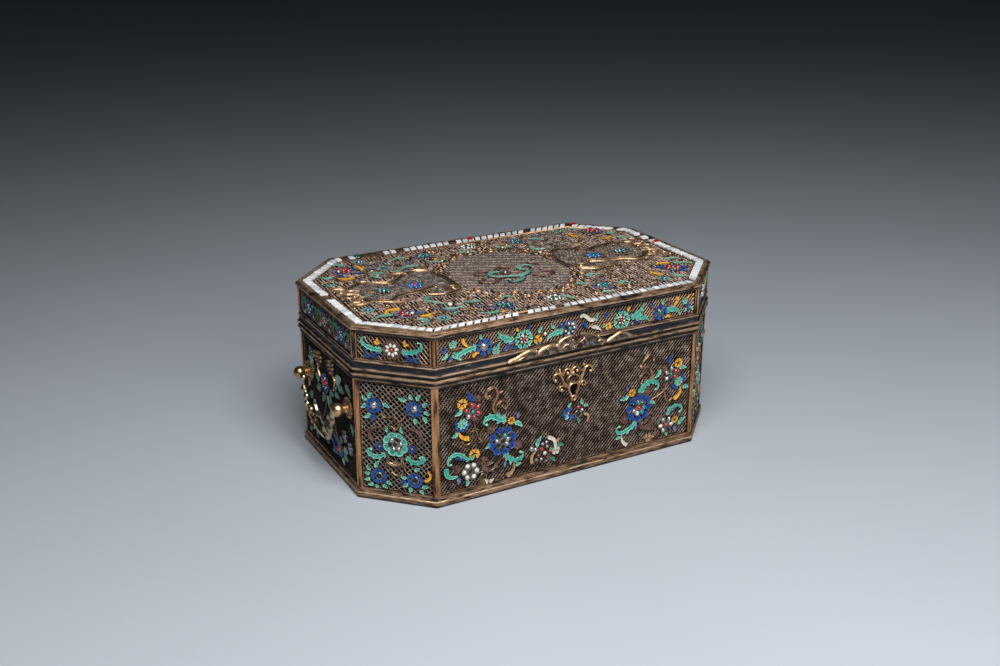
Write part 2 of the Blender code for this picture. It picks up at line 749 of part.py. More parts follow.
def thumb_piece(material):
    """The long low crest on the lid's front edge, with C-scrolls raised on it."""
    base = LID_BOTTOM + 0.3 * LID_RIM_HEIGHT
    half_length = THUMB_LENGTH / 2
    tall = THUMB_HEIGHT
    wide = 0.17 * tall
    crest = (
        (1.0, 0.06), (0.88, 0.34), (0.76, 0.56), (0.64, 0.52), (0.55, 0.28),
        (0.46, 0.52), (0.36, 0.70), (0.22, 0.90), (0.08, 1.0),
    )
    right = [(share * half_length, base + height * tall) for share, height in crest]
    left = [(-u, v) for u, v in reversed(right)]
    plate = [(-half_length, base - 0.08 * tall), (half_length, base - 0.08 * tall)]
    plate += right + left

    def at(along, up):
        return (along * half_length, base + up * tall)

    half = [
        band(curve(at(0.92, 0.10), at(0.78, 0.66), at(0.60, 0.14), 4), wide, wide),
        band(spiral(*at(0.44, 0.28), 0.22 * tall, 200, -260, 4, 0.13 * tall), wide, wide),
        band(curve(at(0.36, 0.50), at(0.20, 0.86), at(0.05, 0.84), 3), wide, wide),
        band(spiral(*at(0.17, 0.38), 0.25 * tall, 120, 250, 4, 0.15 * tall), wide, wide),
    ]
    out = Matrix.Translation((0.0, 0.0, FIT_GAP))
    place = side_place("front", 0.0) @ out
    return relief("thumb_piece", [plate], half + mirrored(half), THUMB_THICKNESS, material, place)


# Handles


def turned(bm, profile, sides, place):
    """A solid of revolution about the place's z axis, from (radius, height) points."""
    rings = []
    for radius, height in profile:
        if radius == 0.0:
            rings.append([bm.verts.new(place @ Vector((0.0, 0.0, height)))])
            continue
        ring = []
        for i in range(sides):
            angle = math.tau * i / sides
            point = Vector((radius * math.cos(angle), radius * math.sin(angle), height))
            ring.append(bm.verts.new(place @ point))
        rings.append(ring)
    for ring, following in zip(rings, rings[1:]):
        for i in range(sides):
            j = (i + 1) % sides
            if len(ring) == 1:
                bm.faces.new((ring[0], following[i], following[j]))
            elif len(following) == 1:
                bm.faces.new((ring[i], ring[j], following[0]))
            else:
                bm.faces.new((ring[i], ring[j], following[j], following[i]))


def knob_spread():
    """How far each knob of a pair stands from the middle of its end panel."""
    return field_half_width("left") - KNOB_POST_DISTANCE


def knob_base():
    """How far out from the posts' face a knob's rosette starts."""
    return FIT_GAP - GROUND_DEPTH


def knob_position(end, across):
    """The centre of a knob's ball. end is -1 for the left end and 1 for the right."""
    x = LENGTH / 2 - MOULDING_PROJECTION + KNOB_REACH
    return Vector((end * x, across * knob_spread(), KNOB_HEIGHT))


def knob(name, end, across, material):
    """A beaded rosette, a turned neck and a ball with a hole in it for the bail's pin."""
    centre = knob_position(end, across)
    turn = Matrix.Rotation(end * math.pi / 2, 4, "Y")
    place = Matrix.Translation(centre) @ turn
    start = knob_base() - KNOB_REACH
    ball = KNOB_BALL_RADIUS
    neck = KNOB_NECK_RADIUS
    rim = ROSETTE_THICKNESS
    profile = [
        (0.0, start), (ROSETTE_RADIUS, start), (0.88 * ROSETTE_RADIUS, start + rim),
        (1.5 * neck, start + 1.2 * rim),
    ]
    meets = math.acos(neck / ball)
    steps = 4
    for i in range(steps):
        angle = -meets + (math.pi / 2 + meets) * i / steps
        profile.append((ball * math.cos(angle), ball * math.sin(angle)))
    profile.append((0.0, ball))
    bm = bmesh.new()
    turned(bm, profile, KNOB_FACETS, Matrix())
    made = add_object(name, bm, material, place, smooth=True)

    bore = bmesh.new()
    inward = Matrix.Rotation(across * math.pi / 2, 4, "X")
    depth = ball - BAIL_PIN_LENGTH - FIT_GAP
    radius = BAIL_PIN_RADIUS + FIT_GAP
    turned(bore, [(0.0, depth), (radius, depth), (radius, 2 * ball), (0.0, 2 * ball)],
           BAIL_FACETS, Matrix())
    cutter = add_object(name + "_bore", bore, material, Matrix.Translation(centre) @ inward)
    return apply_boolean(made, cutter, "DIFFERENCE")


def bail_path():
    """The bail's line from the middle to one knob, as (distance from the middle, height, radius).
    Heights are measured from the axis of the knobs."""
    reach = knob_spread() - KNOB_BALL_RADIUS
    drop = -BAIL_DROP
    thin = BAIL_RADIUS
    bead = BAIL_BEAD_RADIUS
    return [
        (0.00 * reach, 0.83 * drop, bead), (0.11 * reach, 0.82 * drop, thin),
        (0.26 * reach, 1.00 * drop, bead), (0.38 * reach, 0.82 * drop, bead),
        (0.47 * reach, 0.80 * drop, thin), (0.62 * reach, 0.77 * drop, thin),
        (0.67 * reach, 0.62 * drop, bead), (0.65 * reach, 0.48 * drop, thin),
        (0.70 * reach, 0.36 * drop, bead), (0.82 * reach, 0.30 * drop, thin),
        (0.80 * reach, 0.02 * drop, bead), (0.88 * reach, 0.0, thin),
        (reach - 2 * FIT_GAP, 0.0, bead), (reach - FIT_GAP, 0.0, BAIL_PIN_RADIUS),
        (reach + BAIL_PIN_LENGTH - FIT_GAP, 0.0, BAIL_PIN_RADIUS),
    ]


def tube(bm, points, radii, sides):
    """A closed tube through points that lie in the y-z plane."""
    rings = []
    last = len(points) - 1
    for i, (point, radius) in enumerate(zip(points, radii)):
        before = points[max(i - 1, 0)]
        after = points[min(i + 1, last)]
        run = (after - before).normalized()
        across = Vector((1.0, 0.0, 0.0))
        up = run.cross(across)
        ring = []
        for k in range(sides):
            angle = math.tau * k / sides
            ring.append(bm.verts.new(
                point + radius * (math.cos(angle) * across + math.sin(angle) * up)))
        rings.append(ring)
    for ring, following in zip(rings, rings[1:]):
        for k in range(sides):
            m = (k + 1) % sides
            bm.faces.new((ring[k], ring[m], following[m], following[k]))
    bm.faces.new(rings[0])
    bm.faces.new(rings[-1])


def bail(name, end, material):
    """A cast bail: a beaded bar that drops from the knobs, with two round volutes on each side
    and a small drop under the lower one. Its origin is on the line between its two knobs."""
    half = bail_path()
    run = [(-y, z, r) for y, z, r in reversed(half[1:])] + half
    bm = bmesh.new()
    tube(bm, [Vector((0.0, y, z)) for y, z, _ in run], [r for _, _, r in run], BAIL_FACETS)
    axis = Vector((end * (LENGTH / 2 - MOULDING_PROJECTION + KNOB_REACH), 0.0, KNOB_HEIGHT))
    made = add_object(name, bm, material, Matrix.Translation(axis), smooth=True)
    reach = knob_spread() - KNOB_BALL_RADIUS
    flat = Matrix.Rotation(math.pi / 2, 4, "Y")
    thick = BAIL_VOLUTE_THICKNESS / 2
    small = BAIL_BEAD_RADIUS
    for across in (-1, 1):
        for along, down, radius in ((0.60, 0.80, BAIL_VOLUTE_RADIUS),
                                    (0.83, 0.34, 0.8 * BAIL_VOLUTE_RADIUS)):
            centre = axis + Vector((0.0, across * along * reach, -down * BAIL_DROP))
            volute = bmesh.new()
            turned(volute, [(0.0, -thick), (radius, 0.0), (0.0, thick)], VOLUTE_FACETS, Matrix())
            place = Matrix.Translation(centre) @ flat
            apply_boolean(made, add_object(name + "_volute", volute, material, place), "UNION")
        pendant = bmesh.new()
        turned(pendant, [(0.0, -1.6 * small), (0.8 * small, -0.4 * small), (0.0, 1.2 * small)],
               BAIL_FACETS, Matrix())
        below = Vector((0.0, across * 0.63 * reach, -0.80 * BAIL_DROP - BAIL_VOLUTE_RADIUS))
        hung = add_object(name + "_drop", pendant, material, Matrix.Translation(axis + below))
        apply_boolean(made, hung, "UNION")
    return made


# Hinges


def box_mesh(low, high):
    bm = bmesh.new()
    bmesh.ops.create_cube(bm, size=1.0)
    for v in bm.verts:
        for k in range(3):
            v.co[k] = low[k] if v.co[k] < 0 else high[k]
    return bm


def rod(low, high, radius, sides):
    """A rod along x."""
    bm = bmesh.new()
    along = Matrix.Rotation(math.pi / 2, 4, "Y")
    turned(bm, [(0.0, low), (radius, low), (radius, high), (0.0, high)], sides, along)
    return bm


def hinge_leaf(name, centre_x, upward, material):
    """A leaf and its knuckles. The body's leaf hangs down and has the two outer knuckles; the
    lid's stands up and has the middle one."""
    place = Matrix.Translation((centre_x, HINGE_AXIS_Y, HINGE_AXIS_Z))
    half = HINGE_WIDTH / 2
    third = HINGE_WIDTH / 6
    sign = 1.0 if upward else -1.0
    back = WIDTH / 2 + FIT_GAP - HINGE_AXIS_Y
    front = back + HINGE_LEAF_THICKNESS
    clear = HINGE_KNUCKLE_RADIUS + FIT_GAP
    heights = sorted((sign * clear, sign * HINGE_LEAF_HEIGHT))
    leaf_box = box_mesh((-half, back, heights[0]), (half, front, heights[1]))
    made = add_object(name, leaf_box, material, place)
    step = HINGE_STEP
    if upward:
        spans = [(-third + FIT_GAP / 2, third - FIT_GAP / 2)]
    else:
        spans = [(step - half, -third - FIT_GAP / 2), (third + FIT_GAP / 2, half - step)]
    for low, high in spans:
        reach = sorted((0.0, sign * (clear + 3 * step)))
        tab = box_mesh((low + step, back + step, reach[0]), (high - step, front - step, reach[1]))
        apply_boolean(made, add_object(name + "_tab", tab, material, place), "UNION")
        knuckle = rod(low, high, HINGE_KNUCKLE_RADIUS, HINGE_FACETS)
        apply_boolean(made, add_object(name + "_knuckle", knuckle, material, place), "UNION")
    bore = rod(-HINGE_WIDTH, HINGE_WIDTH, HINGE_PIN_RADIUS + FIT_GAP, HINGE_FACETS)
    return apply_boolean(made, add_object(name + "_bore", bore, material, place), "DIFFERENCE")


def hinge_pin(name, centre_x, material):
    half = HINGE_WIDTH / 2 + FIT_GAP
    place = Matrix.Translation((centre_x, HINGE_AXIS_Y, HINGE_AXIS_Z))
    pin = rod(-half, half, HINGE_PIN_RADIUS, HINGE_FACETS)
    return add_object(name, pin, material, place, smooth=True)


def main():
    for old in list(bpy.data.objects):
        bpy.data.objects.remove(old)

    gilt = make_material("gilt_silver", (0.46, 0.30, 0.14), 0.36, 1.0)
    filigree = make_material("filigree_silver", (0.23, 0.19, 0.16), 0.45, 1.0)
    white = make_material("white_stone", (0.80, 0.82, 0.84), 0.25, 0.0)
    handle_silver = make_material("handle_silver", (0.55, 0.47, 0.36), 0.28, 1.0)
    ball_gilt = make_material("ball_gilt", (0.55, 0.36, 0.17), 0.25, 1.0)

    shell("body_shell", body_profile(), 6, gilt)
    shell("lid_shell", lid_profile(), 9, gilt)
    for side in SIDES:
        filigree_panel("body_panel_" + side, side, BASE_MOULDING_HEIGHT, BODY_PANEL_TOP,
                       side_layout, filigree)
        filigree_panel("lid_panel_" + side, side, LID_PANEL_BOTTOM, LID_PANEL_TOP,
                       lid_side_layout, filigree)
    lid_top_field(filigree)
    stone_border(white)
    escutcheon(gilt)
    thumb_piece(gilt)

    lid_axis = bpy.data.objects.new("lid_axis", None)
    lid_axis.location = (0.0, HINGE_AXIS_Y, HINGE_AXIS_Z)
    bpy.context.scene.collection.objects.link(lid_axis)

    for end, end_name in ((-1, "left"), (1, "right")):
        for across, across_name in ((-1, "front"), (1, "back")):
            knob("knob_" + end_name + "_" + across_name, end, across, ball_gilt)
        bail("handle_" + end_name, end, handle_silver)
        centre_x = end * HINGE_SPACING / 2
        hinge_leaf("hinge_leaf_body_" + end_name, centre_x, False, gilt)
        hinge_leaf("hinge_leaf_lid_" + end_name, centre_x, True, gilt)
        hinge_pin("hinge_pin_" + end_name, centre_x, handle_silver)

    bpy.context.view_layer.update()
    on_lid = ("lid_", "stone_border", "thumb_piece", "hinge_leaf_lid")
    for piece in list(bpy.data.objects):
        if piece is not lid_axis and piece.name.startswith(on_lid):
            world = piece.matrix_world.copy()
            piece.parent = lid_axis
            piece.matrix_world = world
    bpy.context.view_layer.update()


main()
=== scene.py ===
"""Looks of the octagonal filigree casket: worn gilt mouldings, open silver wire grounds with
enamelled flowers and set stones, a border of white stones, a keyhole plate and two bails.

Points are in millimetres until a piece is made. On each side of the casket an ornament has
places (u, z): u runs along the side, seen from outside, and z up. On the lid's top they are (x, y).
"""

import math
import random

import bpy
import numpy as np
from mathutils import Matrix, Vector


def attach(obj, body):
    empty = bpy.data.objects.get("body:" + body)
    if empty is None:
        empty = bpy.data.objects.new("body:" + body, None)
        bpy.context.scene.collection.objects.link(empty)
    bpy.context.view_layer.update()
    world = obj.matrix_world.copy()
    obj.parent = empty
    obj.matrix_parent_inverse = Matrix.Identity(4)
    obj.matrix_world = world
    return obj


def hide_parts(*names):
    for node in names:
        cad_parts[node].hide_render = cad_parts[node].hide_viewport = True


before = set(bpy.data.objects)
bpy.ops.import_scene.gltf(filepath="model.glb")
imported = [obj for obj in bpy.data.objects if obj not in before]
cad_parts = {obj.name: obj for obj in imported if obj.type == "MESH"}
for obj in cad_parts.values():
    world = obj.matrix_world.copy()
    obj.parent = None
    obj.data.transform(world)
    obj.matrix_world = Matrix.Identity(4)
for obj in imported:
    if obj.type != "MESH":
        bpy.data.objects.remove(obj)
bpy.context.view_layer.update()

MM = 0.001
TAU = math.tau
UP = np.array((0, 0, 1))

# The same sizes as the CAD model's
LENGTH, WIDTH, CORNER_CUT = 260, 165, 36
WALL = 1.5
RECESS = 2.1
POST = 2.4
EDGE = 0.9
INNER = 4.8
BODY_PANEL = (6.2, 77.2)
LID_PANEL = (90.2, 107)
FIELD_FLOOR = 109
FIELD_INSET = 9.8
KNOB_AT = (135, 32.98, 53.8)
SIDES = ("front", "front_right", "right", "back_right", "back", "back_left", "left", "front_left")

# Sizes that only the looks have: levels of the wire grounds, the border and the small parts
GROUND = -1.2
TOP_LEVEL = 110.15
PANEL_GAP = 0.15
OVAL = (40, 44)
OVAL_SCROLLS = 34
GILT_CURLS, GROUND_CURLS = 620, 2300
BORDER_OUTER, BORDER_INNER = 4.6, 9.3
STONE_PITCH = 5.1
KNOB_BEADS = 22

# The camera, fitted to the photo: place and direction in metres, lens in millimetres
CAMERA_AT = (-0.35808, -0.64126, 0.34885)
CAMERA_AIM = (0.44914, 0.81853, -0.35817)
LENS = 42.4

rng = random.Random(11)


# Materials


def node(tree, kind, **inputs):
    made = tree.nodes.new("ShaderNode" + kind)
    for key, value in inputs.items():
        made.inputs[key.replace("_", " ")].default_value = value
    return made


def surface(name, colours, scale=300, stretch=(1, 1, 1), metallic=1, rough=(0.3, 0.5),
            bump=0, bump_scale=900, coat=0, detail=3, shine=0.5):
    """A material whose colour follows a noise through a ramp of (position, colour)."""
    material = bpy.data.materials.new(name)
    material.use_nodes = True
    tree = material.node_tree
    shader = tree.nodes["Principled BSDF"]
    shader.inputs["Metallic"].default_value = metallic
    shader.inputs["Coat Weight"].default_value = coat
    shader.inputs["Coat Roughness"].default_value = 0.08
    shader.inputs["Specular IOR Level"].default_value = shine
    place = tree.nodes.new("ShaderNodeTexCoord")
    mapping = tree.nodes.new("ShaderNodeMapping")
    mapping.inputs["Scale"].default_value = stretch
    tree.links.new(place.outputs["Object"], mapping.inputs["Vector"])

    noise = node(tree, "TexNoise", Scale=scale, Detail=detail)
    tree.links.new(mapping.outputs["Vector"], noise.inputs["Vector"])
    ramp = tree.nodes.new("ShaderNodeValToRGB")
    while len(ramp.color_ramp.elements) < len(colours):
        ramp.color_ramp.elements.new(0.5)
    for element, (position, colour) in zip(ramp.color_ramp.elements, colours):
        element.position = position
        element.color = (*colour, 1)
    tree.links.new(noise.outputs["Fac"], ramp.inputs["Fac"])
    tree.links.new(ramp.outputs["Color"], shader.inputs["Base Color"])

    spots = node(tree, "TexNoise", Scale=2.3 * scale, Detail=2)
    tree.links.new(mapping.outputs["Vector"], spots.inputs["Vector"])
    span = tree.nodes.new("ShaderNodeMapRange")
    span.inputs["From Min"].default_value = 0.3
    span.inputs["From Max"].default_value = 0.7
    span.inputs["To Min"].default_value = rough[0]
    span.inputs["To Max"].default_value = rough[1]
    tree.links.new(spots.outputs["Fac"], span.inputs["Value"])
    tree.links.new(span.outputs["Result"], shader.inputs["Roughness"])

    if bump:
        grain = node(tree, "TexNoise", Scale=bump_scale, Detail=3)
        tree.links.new(mapping.outputs["Vector"], grain.inputs["Vector"])
        lift_node = node(tree, "Bump", Strength=bump, Distance=0.0004)
        tree.links.new(grain.outputs["Fac"], lift_node.inputs["Height"])
        tree.links.new(lift_node.outputs["Normal"], shader.inputs["Normal"])
    return material


def enamel(name, deep, clear):
    """Glass enamel: deeper in places, slightly pitted, with a thin gloss."""
    return surface(name, [(0.3, deep), (0.55, clear), (0.75, deep)], 420, metallic=0,
                   rough=(0.3, 0.6), bump=0.25, bump_scale=1500, coat=0.1, shine=0.3)


def gem(name, deep, clear):
    return surface(name, [(0.35, deep), (0.65, clear)], 700, metallic=0,
                   rough=(0.03, 0.12), coat=1)


ALONG = (130, 130, 800)
UPRIGHT = (420, 420, 55)
MATERIALS = {
    "gilt": surface("gilt_worn", [(0.31, (0.03, 0.022, 0.018)), (0.39, (0.4, 0.22, 0.115)),
                                  (0.54, (0.8, 0.555, 0.36)), (0.68, (0.34, 0.19, 0.1))],
                    1, ALONG, metallic=0.8, rough=(0.32, 0.52), bump=0.4, bump_scale=2),
    "gilt_dull": surface("gilt_dull", [(0.36, (0.022, 0.018, 0.017)), (0.44, (0.22, 0.12, 0.06)),
                                       (0.66, (0.5, 0.32, 0.2))],
                         1, ALONG, metallic=0.8, rough=(0.35, 0.6), bump=0.5, bump_scale=2),
    # Dark band: the charcoal bands of the mouldings, also used as painted shade on the recess walls and
    # on each panel's top frame face
    "band": surface("dark_band_and_recess_shade", [(0.5, (0.014, 0.015, 0.018)), (0.64, (0.034, 0.035, 0.041)),
                                  (0.74, (0.22, 0.13, 0.07))],
                    1, ALONG, metallic=0.5, rough=(0.4, 0.65), bump=0.5, bump_scale=2),
    "post": surface("post_metal", [(0.36, (0.04, 0.022, 0.014)), (0.45, (0.34, 0.155, 0.06)),
                                   (0.62, (0.6, 0.325, 0.155))],
                    1, UPRIGHT, metallic=0.8, rough=(0.35, 0.55), bump=0.6, bump_scale=1.6),
    "lining": surface("lining_metal", [(0.3, (0.28, 0.22, 0.15)), (0.7, (0.52, 0.43, 0.31))],
                      60, rough=(0.35, 0.55), bump=0.15, bump_scale=500),
    # The backing plate behind the wire grounds: near black, with orange flecks that are painted glints
    # of light
    "backing": surface("backing_painted_glints", [(0.5, (0.004, 0.003, 0.003)), (0.62, (0.022, 0.011, 0.006)),
                                         (0.75, (0.24, 0.1, 0.035))],
                       330, metallic=0.3, rough=(0.5, 0.7), shine=0.1),
    "wire": surface("ground_wire", [(0.36, (0.05, 0.032, 0.023)), (0.5, (0.135, 0.09, 0.066)),
                                    (0.64, (0.27, 0.2, 0.16))],
                    210, metallic=0.6, rough=(0.38, 0.55), detail=6),
    "wire_dim": surface("dim_wire_painted_shade", [(0.36, (0.055, 0.04, 0.03)), (0.62, (0.2, 0.155, 0.125))],
                        330, metallic=0.6, rough=(0.4, 0.6), detail=4),
    "wire_low": surface("low_wire", [(0.36, (0.035, 0.024, 0.018)), (0.62, (0.15, 0.105, 0.075))],
                        330, metallic=0.6, rough=(0.4, 0.6), detail=4),
    "wire_pale": surface("pale_wire_painted_light", [(0.36, (0.13, 0.098, 0.075)), (0.62, (0.42, 0.34, 0.28))],
                         330, metallic=0.3, rough=(0.4, 0.6), detail=4),
    "wire_pink": surface("pink_wire", [(0.36, (0.17, 0.105, 0.075)), (0.5, (0.34, 0.235, 0.185)),
                                       (0.66, (0.6, 0.46, 0.38))],
                         300, metallic=0.35, rough=(0.5, 0.7), detail=4),
    "wire_side": surface("side_wire", [(0.35, (0.2, 0.12, 0.075)), (0.6, (0.42, 0.29, 0.2))],
                         40, metallic=0.65, rough=(0.4, 0.6), detail=5),
    "wire_grey": surface("grey_wire", [(0.36, (0.07, 0.06, 0.053)), (0.62, (0.29, 0.25, 0.22))],
                         300, metallic=0.4, rough=(0.5, 0.7), detail=4),
    "vine": surface("vine_gilt", [(0.3, (0.08, 0.045, 0.028)), (0.5, (0.32, 0.19, 0.105)),
                                  (0.7, (0.56, 0.36, 0.21))],
                    260, metallic=0.8, rough=(0.32, 0.5), bump=0.3, bump_scale=1500),
    "bright": surface("bright_gilt", [(0.3, (0.3, 0.17, 0.08)), (0.6, (0.74, 0.49, 0.28))],
                      200, metallic=0.85, rough=(0.28, 0.45), bump=0.2),
    "rim": surface("rim_wire", [(0.35, (0.16, 0.12, 0.08)), (0.65, (0.42, 0.34, 0.26))],
                   500, rough=(0.3, 0.45)),
    "silver": surface("setting_silver", [(0.3, (0.1, 0.09, 0.08)), (0.6, (0.42, 0.38, 0.34))],
                      500, rough=(0.22, 0.42), bump=0.3),
    "bare": surface("bare_metal", [(0.3, (0.07, 0.035, 0.028)), (0.6, (0.24, 0.13, 0.1)),
                                   (0.75, (0.4, 0.26, 0.21))],
                    600, metallic=0.6, rough=(0.45, 0.65), bump=0.6),
    "scroll": surface("scroll_dark", [(0.36, (0.03, 0.028, 0.028)), (0.56, (0.11, 0.095, 0.085)),
                                      (0.72, (0.42, 0.27, 0.16))],
                      300, metallic=0.8, rough=(0.3, 0.5), bump=0.4, bump_scale=1200),
    "paste": surface("stone_paste", [(0.35, (0.2, 0.195, 0.19)), (0.6, (0.62, 0.61, 0.6))],
                     900, metallic=0.75, rough=(0.16, 0.34)),
    "pearl": surface("stone_pearl", [(0.35, (0.46, 0.41, 0.34)), (0.6, (0.82, 0.78, 0.69))],
                     700, metallic=0, rough=(0.12, 0.25), coat=0.5),
    # Near black for the keyhole: painted shade where the hole would be
    "black": surface("keyhole_painted_shade", [(0.4, (0.001, 0.001, 0.001)), (0.7, (0.006, 0.005, 0.005))],
                     500, metallic=0, rough=(0.7, 0.9), shine=0.05),
    # Near black: empty stone settings and the border's channel, and painted shade where it covers the
    # wires of the ends and the dark lines across the oval
    "dark": surface("empty_setting_and_painted_shade", [(0.4, (0.008, 0.006, 0.006)), (0.7, (0.05, 0.035, 0.03))],
                    500, metallic=0.3, rough=(0.4, 0.7)),
    "white": surface("white_stone", [(0.25, (0.66, 0.7, 0.74)), (0.45, (0.86, 0.89, 0.91)),
                                     (0.7, (0.94, 0.95, 0.96))],
                     130, metallic=0, rough=(0.15, 0.35), bump=0.2, bump_scale=500, coat=0.4),
    "white_dim": surface("white_stone_dim", [(0.3, (0.44, 0.48, 0.52)), (0.6, (0.7, 0.74, 0.78))],
                         130, metallic=0, rough=(0.2, 0.4), bump=0.2, bump_scale=500, coat=0.3),
    "ball": surface("ball_gilt", [(0.3, (0.46, 0.27, 0.13)), (0.6, (0.8, 0.54, 0.32))],
                    90, metallic=1, rough=(0.28, 0.42), bump=0.08, bump_scale=600),
    "bail": surface("bail_silver", [(0.34, (0.27, 0.2, 0.12)), (0.7, (0.64, 0.53, 0.38))],
                    160, rough=(0.24, 0.36), bump=0.1, bump_scale=700),
}
# Enamels and clear stones: (deep colour, clear colour)
ENAMELS = {
    "turquoise": ((0.014, 0.2, 0.145), (0.045, 0.39, 0.3)),
    "sage": ((0.026, 0.15, 0.105), (0.085, 0.3, 0.215)),
    "sage_edge": ((0.12, 0.34, 0.26), (0.28, 0.52, 0.41)),
    "mint": ((0.13, 0.46, 0.33), (0.32, 0.68, 0.52)),
    "green": ((0.008, 0.13, 0.085), (0.03, 0.27, 0.18)),
    "bud": ((0.05, 0.16, 0.12), (0.42, 0.56, 0.48)),
    "navy": ((0.002, 0.01, 0.07), (0.006, 0.045, 0.23)),
    "royal": ((0.001, 0.02, 0.16), (0.004, 0.095, 0.42)),
    "slate": ((0.05, 0.07, 0.18), (0.15, 0.19, 0.4)),
    "yellow": ((0.55, 0.22, 0.012), (0.9, 0.45, 0.03)),
    "ivory": ((0.42, 0.35, 0.26), (0.74, 0.68, 0.56)),
    "tan": ((0.22, 0.11, 0.055), (0.5, 0.3, 0.16)),
}
GEMS = {
    "garnet": ((0.2, 0, 0.002), (0.7, 0.002, 0.006)),
    "teal": ((0, 0.06, 0.065), (0, 0.34, 0.34)),
    "sky": ((0, 0.05, 0.25), (0.005, 0.25, 0.66)),
    "emerald": ((0, 0.045, 0.035), (0, 0.16, 0.1)),
}
MATERIALS |= {key: enamel("enamel_" + key, *shades) for key, shades in ENAMELS.items()}
MATERIALS |= {key: gem("stone_" + key, *shades) for key, shades in GEMS.items()}
# The paler rim of an enamel
EDGES = {"turquoise": "mint", "green": "sage", "bud": "sage_edge", "navy": "royal"}


# Solids: each is (points, [blocks of faces])


def ring_section(sides):
    angles = TAU * np.arange(sides) / sides
    return np.stack((np.cos(angles), np.sin(angles)), 1)


ROUND = {sides: ring_section(sides) for sides in (3, 4, 5, 6, 8, 12)}
QUAD = np.array([(0, 1, 2, 3)])
TRAY = np.array(((1, -1), (1, 0.8), (0, 0.3), (-1, 0.8), (-1, -1)), float)
VINE = np.array(((1, -1), (0.85, 0.1), (0.4, 0.85), (0, 1), (-0.4, 0.85), (-0.85, 0.1),
                 (-1, -1)), float)
GROOVED = np.array(((1, -1), (1, 0.3), (0.75, 1), (0.45, 0.35), (0, 0.2), (-0.45, 0.35),
                    (-0.75, 1), (-1, 0.3), (-1, -1)), float)


def across(path, closed):
    """The direction to the right of a path at each of its points, level with the surface."""
    ahead = np.roll(path, -1, 0) - np.roll(path, 1, 0)
    if not closed:
        ahead[0] = path[1] - path[0]
        ahead[-1] = path[-1] - path[-2]
    side = np.cross(ahead, UP)
    return side / np.maximum(np.linalg.norm(side, axis=1), 1e-9)[:, None]


def loft(path, half, rise, section, closed=False):
    """A bar along path: the section is scaled sideways by half and upward by rise."""
    path = np.asarray(path, float)
    count, sides = len(path), len(section)
    side = across(path, closed)
    half = np.broadcast_to(half, count)[:, None]
    rise = np.broadcast_to(rise, count)[:, None]
    points = (path[:, None, :] + side[:, None, :] * (half * section[:, 0])[:, :, None]
              + UP * (rise * section[:, 1])[:, :, None]).reshape(-1, 3)
    i = np.arange(count if closed else count - 1)[:, None]
    j = np.arange(sides)[None, :]
    k = (j + 1) % sides
    following = (i + 1) % count
    quads = np.stack((i * sides + j, following * sides + j, following * sides + k,
                      i * sides + k), -1).reshape(-1, 4)
    if closed:
        return points, [quads]
    fan = np.array([(0, a, a + 1) for a in range(1, sides - 1)])
    return points, [quads, fan, fan[:, ::-1] + (count - 1) * sides]


def turned(profile, sides):
    """A solid of revolution about the z axis, from (radius, height) points, bottom to top."""
    circle = ring_section(sides)
    points, rings, total = [], [], 0
    for radius, height in profile:
        if radius == 0:
            points.append(np.array([(0, 0, height)]))
            rings.append((total, 1))
            total += 1
        else:
            points.append(np.column_stack((radius * circle, np.full(sides, height))))
            rings.append((total, sides))
            total += sides
    j = np.arange(sides)
    k = (j + 1) % sides
    faces = []
    for (low, low_count), (high, high_count) in zip(rings, rings[1:]):
        if low_count == 1:
            faces.append(np.stack((np.full(sides, low), high + k, high + j), 1))
        elif high_count == 1:
            faces.append(np.stack((low + j, low + k, np.full(sides, high)), 1))
        else:
            faces.append(np.stack((low + j, low + k, high + k, high + j), 1))
    return np.concatenate(points), faces


def plate(outline, low, high, crown, share=0.62):
    """A closed plate over a star-shaped outline, whose middle is higher by crown."""
    outline = np.asarray(outline, float)
    count = len(outline)
    area = np.cross(outline, np.roll(outline, -1, 0)).sum()
    if area < 0:
        outline = outline[::-1]
        high = high[::-1] if np.ndim(high) else high
    high = np.broadcast_to(high, count).astype(float)
    middle = outline.mean(0)
    inner = middle + share * (outline - middle)
    level = high.mean()
    points = np.concatenate((
        np.column_stack((outline, np.full(count, low))),
        np.column_stack((outline, high)),
        np.column_stack((inner, level + share * (high - level) + 0.8 * crown)),
        [(middle[0], middle[1], level + crown), (middle[0], middle[1], low)],
    ))
    j = np.arange(count)
    k = (j + 1) % count
    skirt = np.stack((j, k, count + k, count + j), 1)
    ledge = np.stack((count + j, count + k, 2 * count + k, 2 * count + j), 1)
    top = np.stack((2 * count + j, 2 * count + k, np.full(count, 3 * count)), 1)
    under = np.stack((k, j, np.full(count, 3 * count + 1)), 1)
    return points, [skirt, ledge, top, under]


def smooth(points, steps=4):
    """A smooth line through the points."""
    p = np.array(points, float)
    if len(p) < 3:
        return p
    padded = np.vstack((2 * p[0] - p[1], p, 2 * p[-1] - p[-2]))
    t = np.linspace(0, 1, steps, endpoint=False)[:, None]
    line = []
    for a, b, c, d in zip(padded, padded[1:], padded[2:], padded[3:]):
        line.append(0.5 * (2 * b + (c - a) * t + (2 * a - 5 * b + 4 * c - d) * t ** 2
                           + (3 * b - a - 3 * c + d) * t ** 3))
    line.append(p[-1:])
    return np.concatenate(line)


def lift(points, height):
    points = np.asarray(points, float)
    return np.column_stack((points[:, :2], np.broadcast_to(height, len(points))))


def spiral(centre, start_radius, end_radius, start, sweep, steps=12):
    share = np.linspace(0, 1, steps + 1)
    angle = np.radians(start + sweep * share)
    reach = start_radius + (end_radius - start_radius) * share
    return np.stack((centre[0] + reach * np.cos(angle), centre[1] + reach * np.sin(angle)), 1)


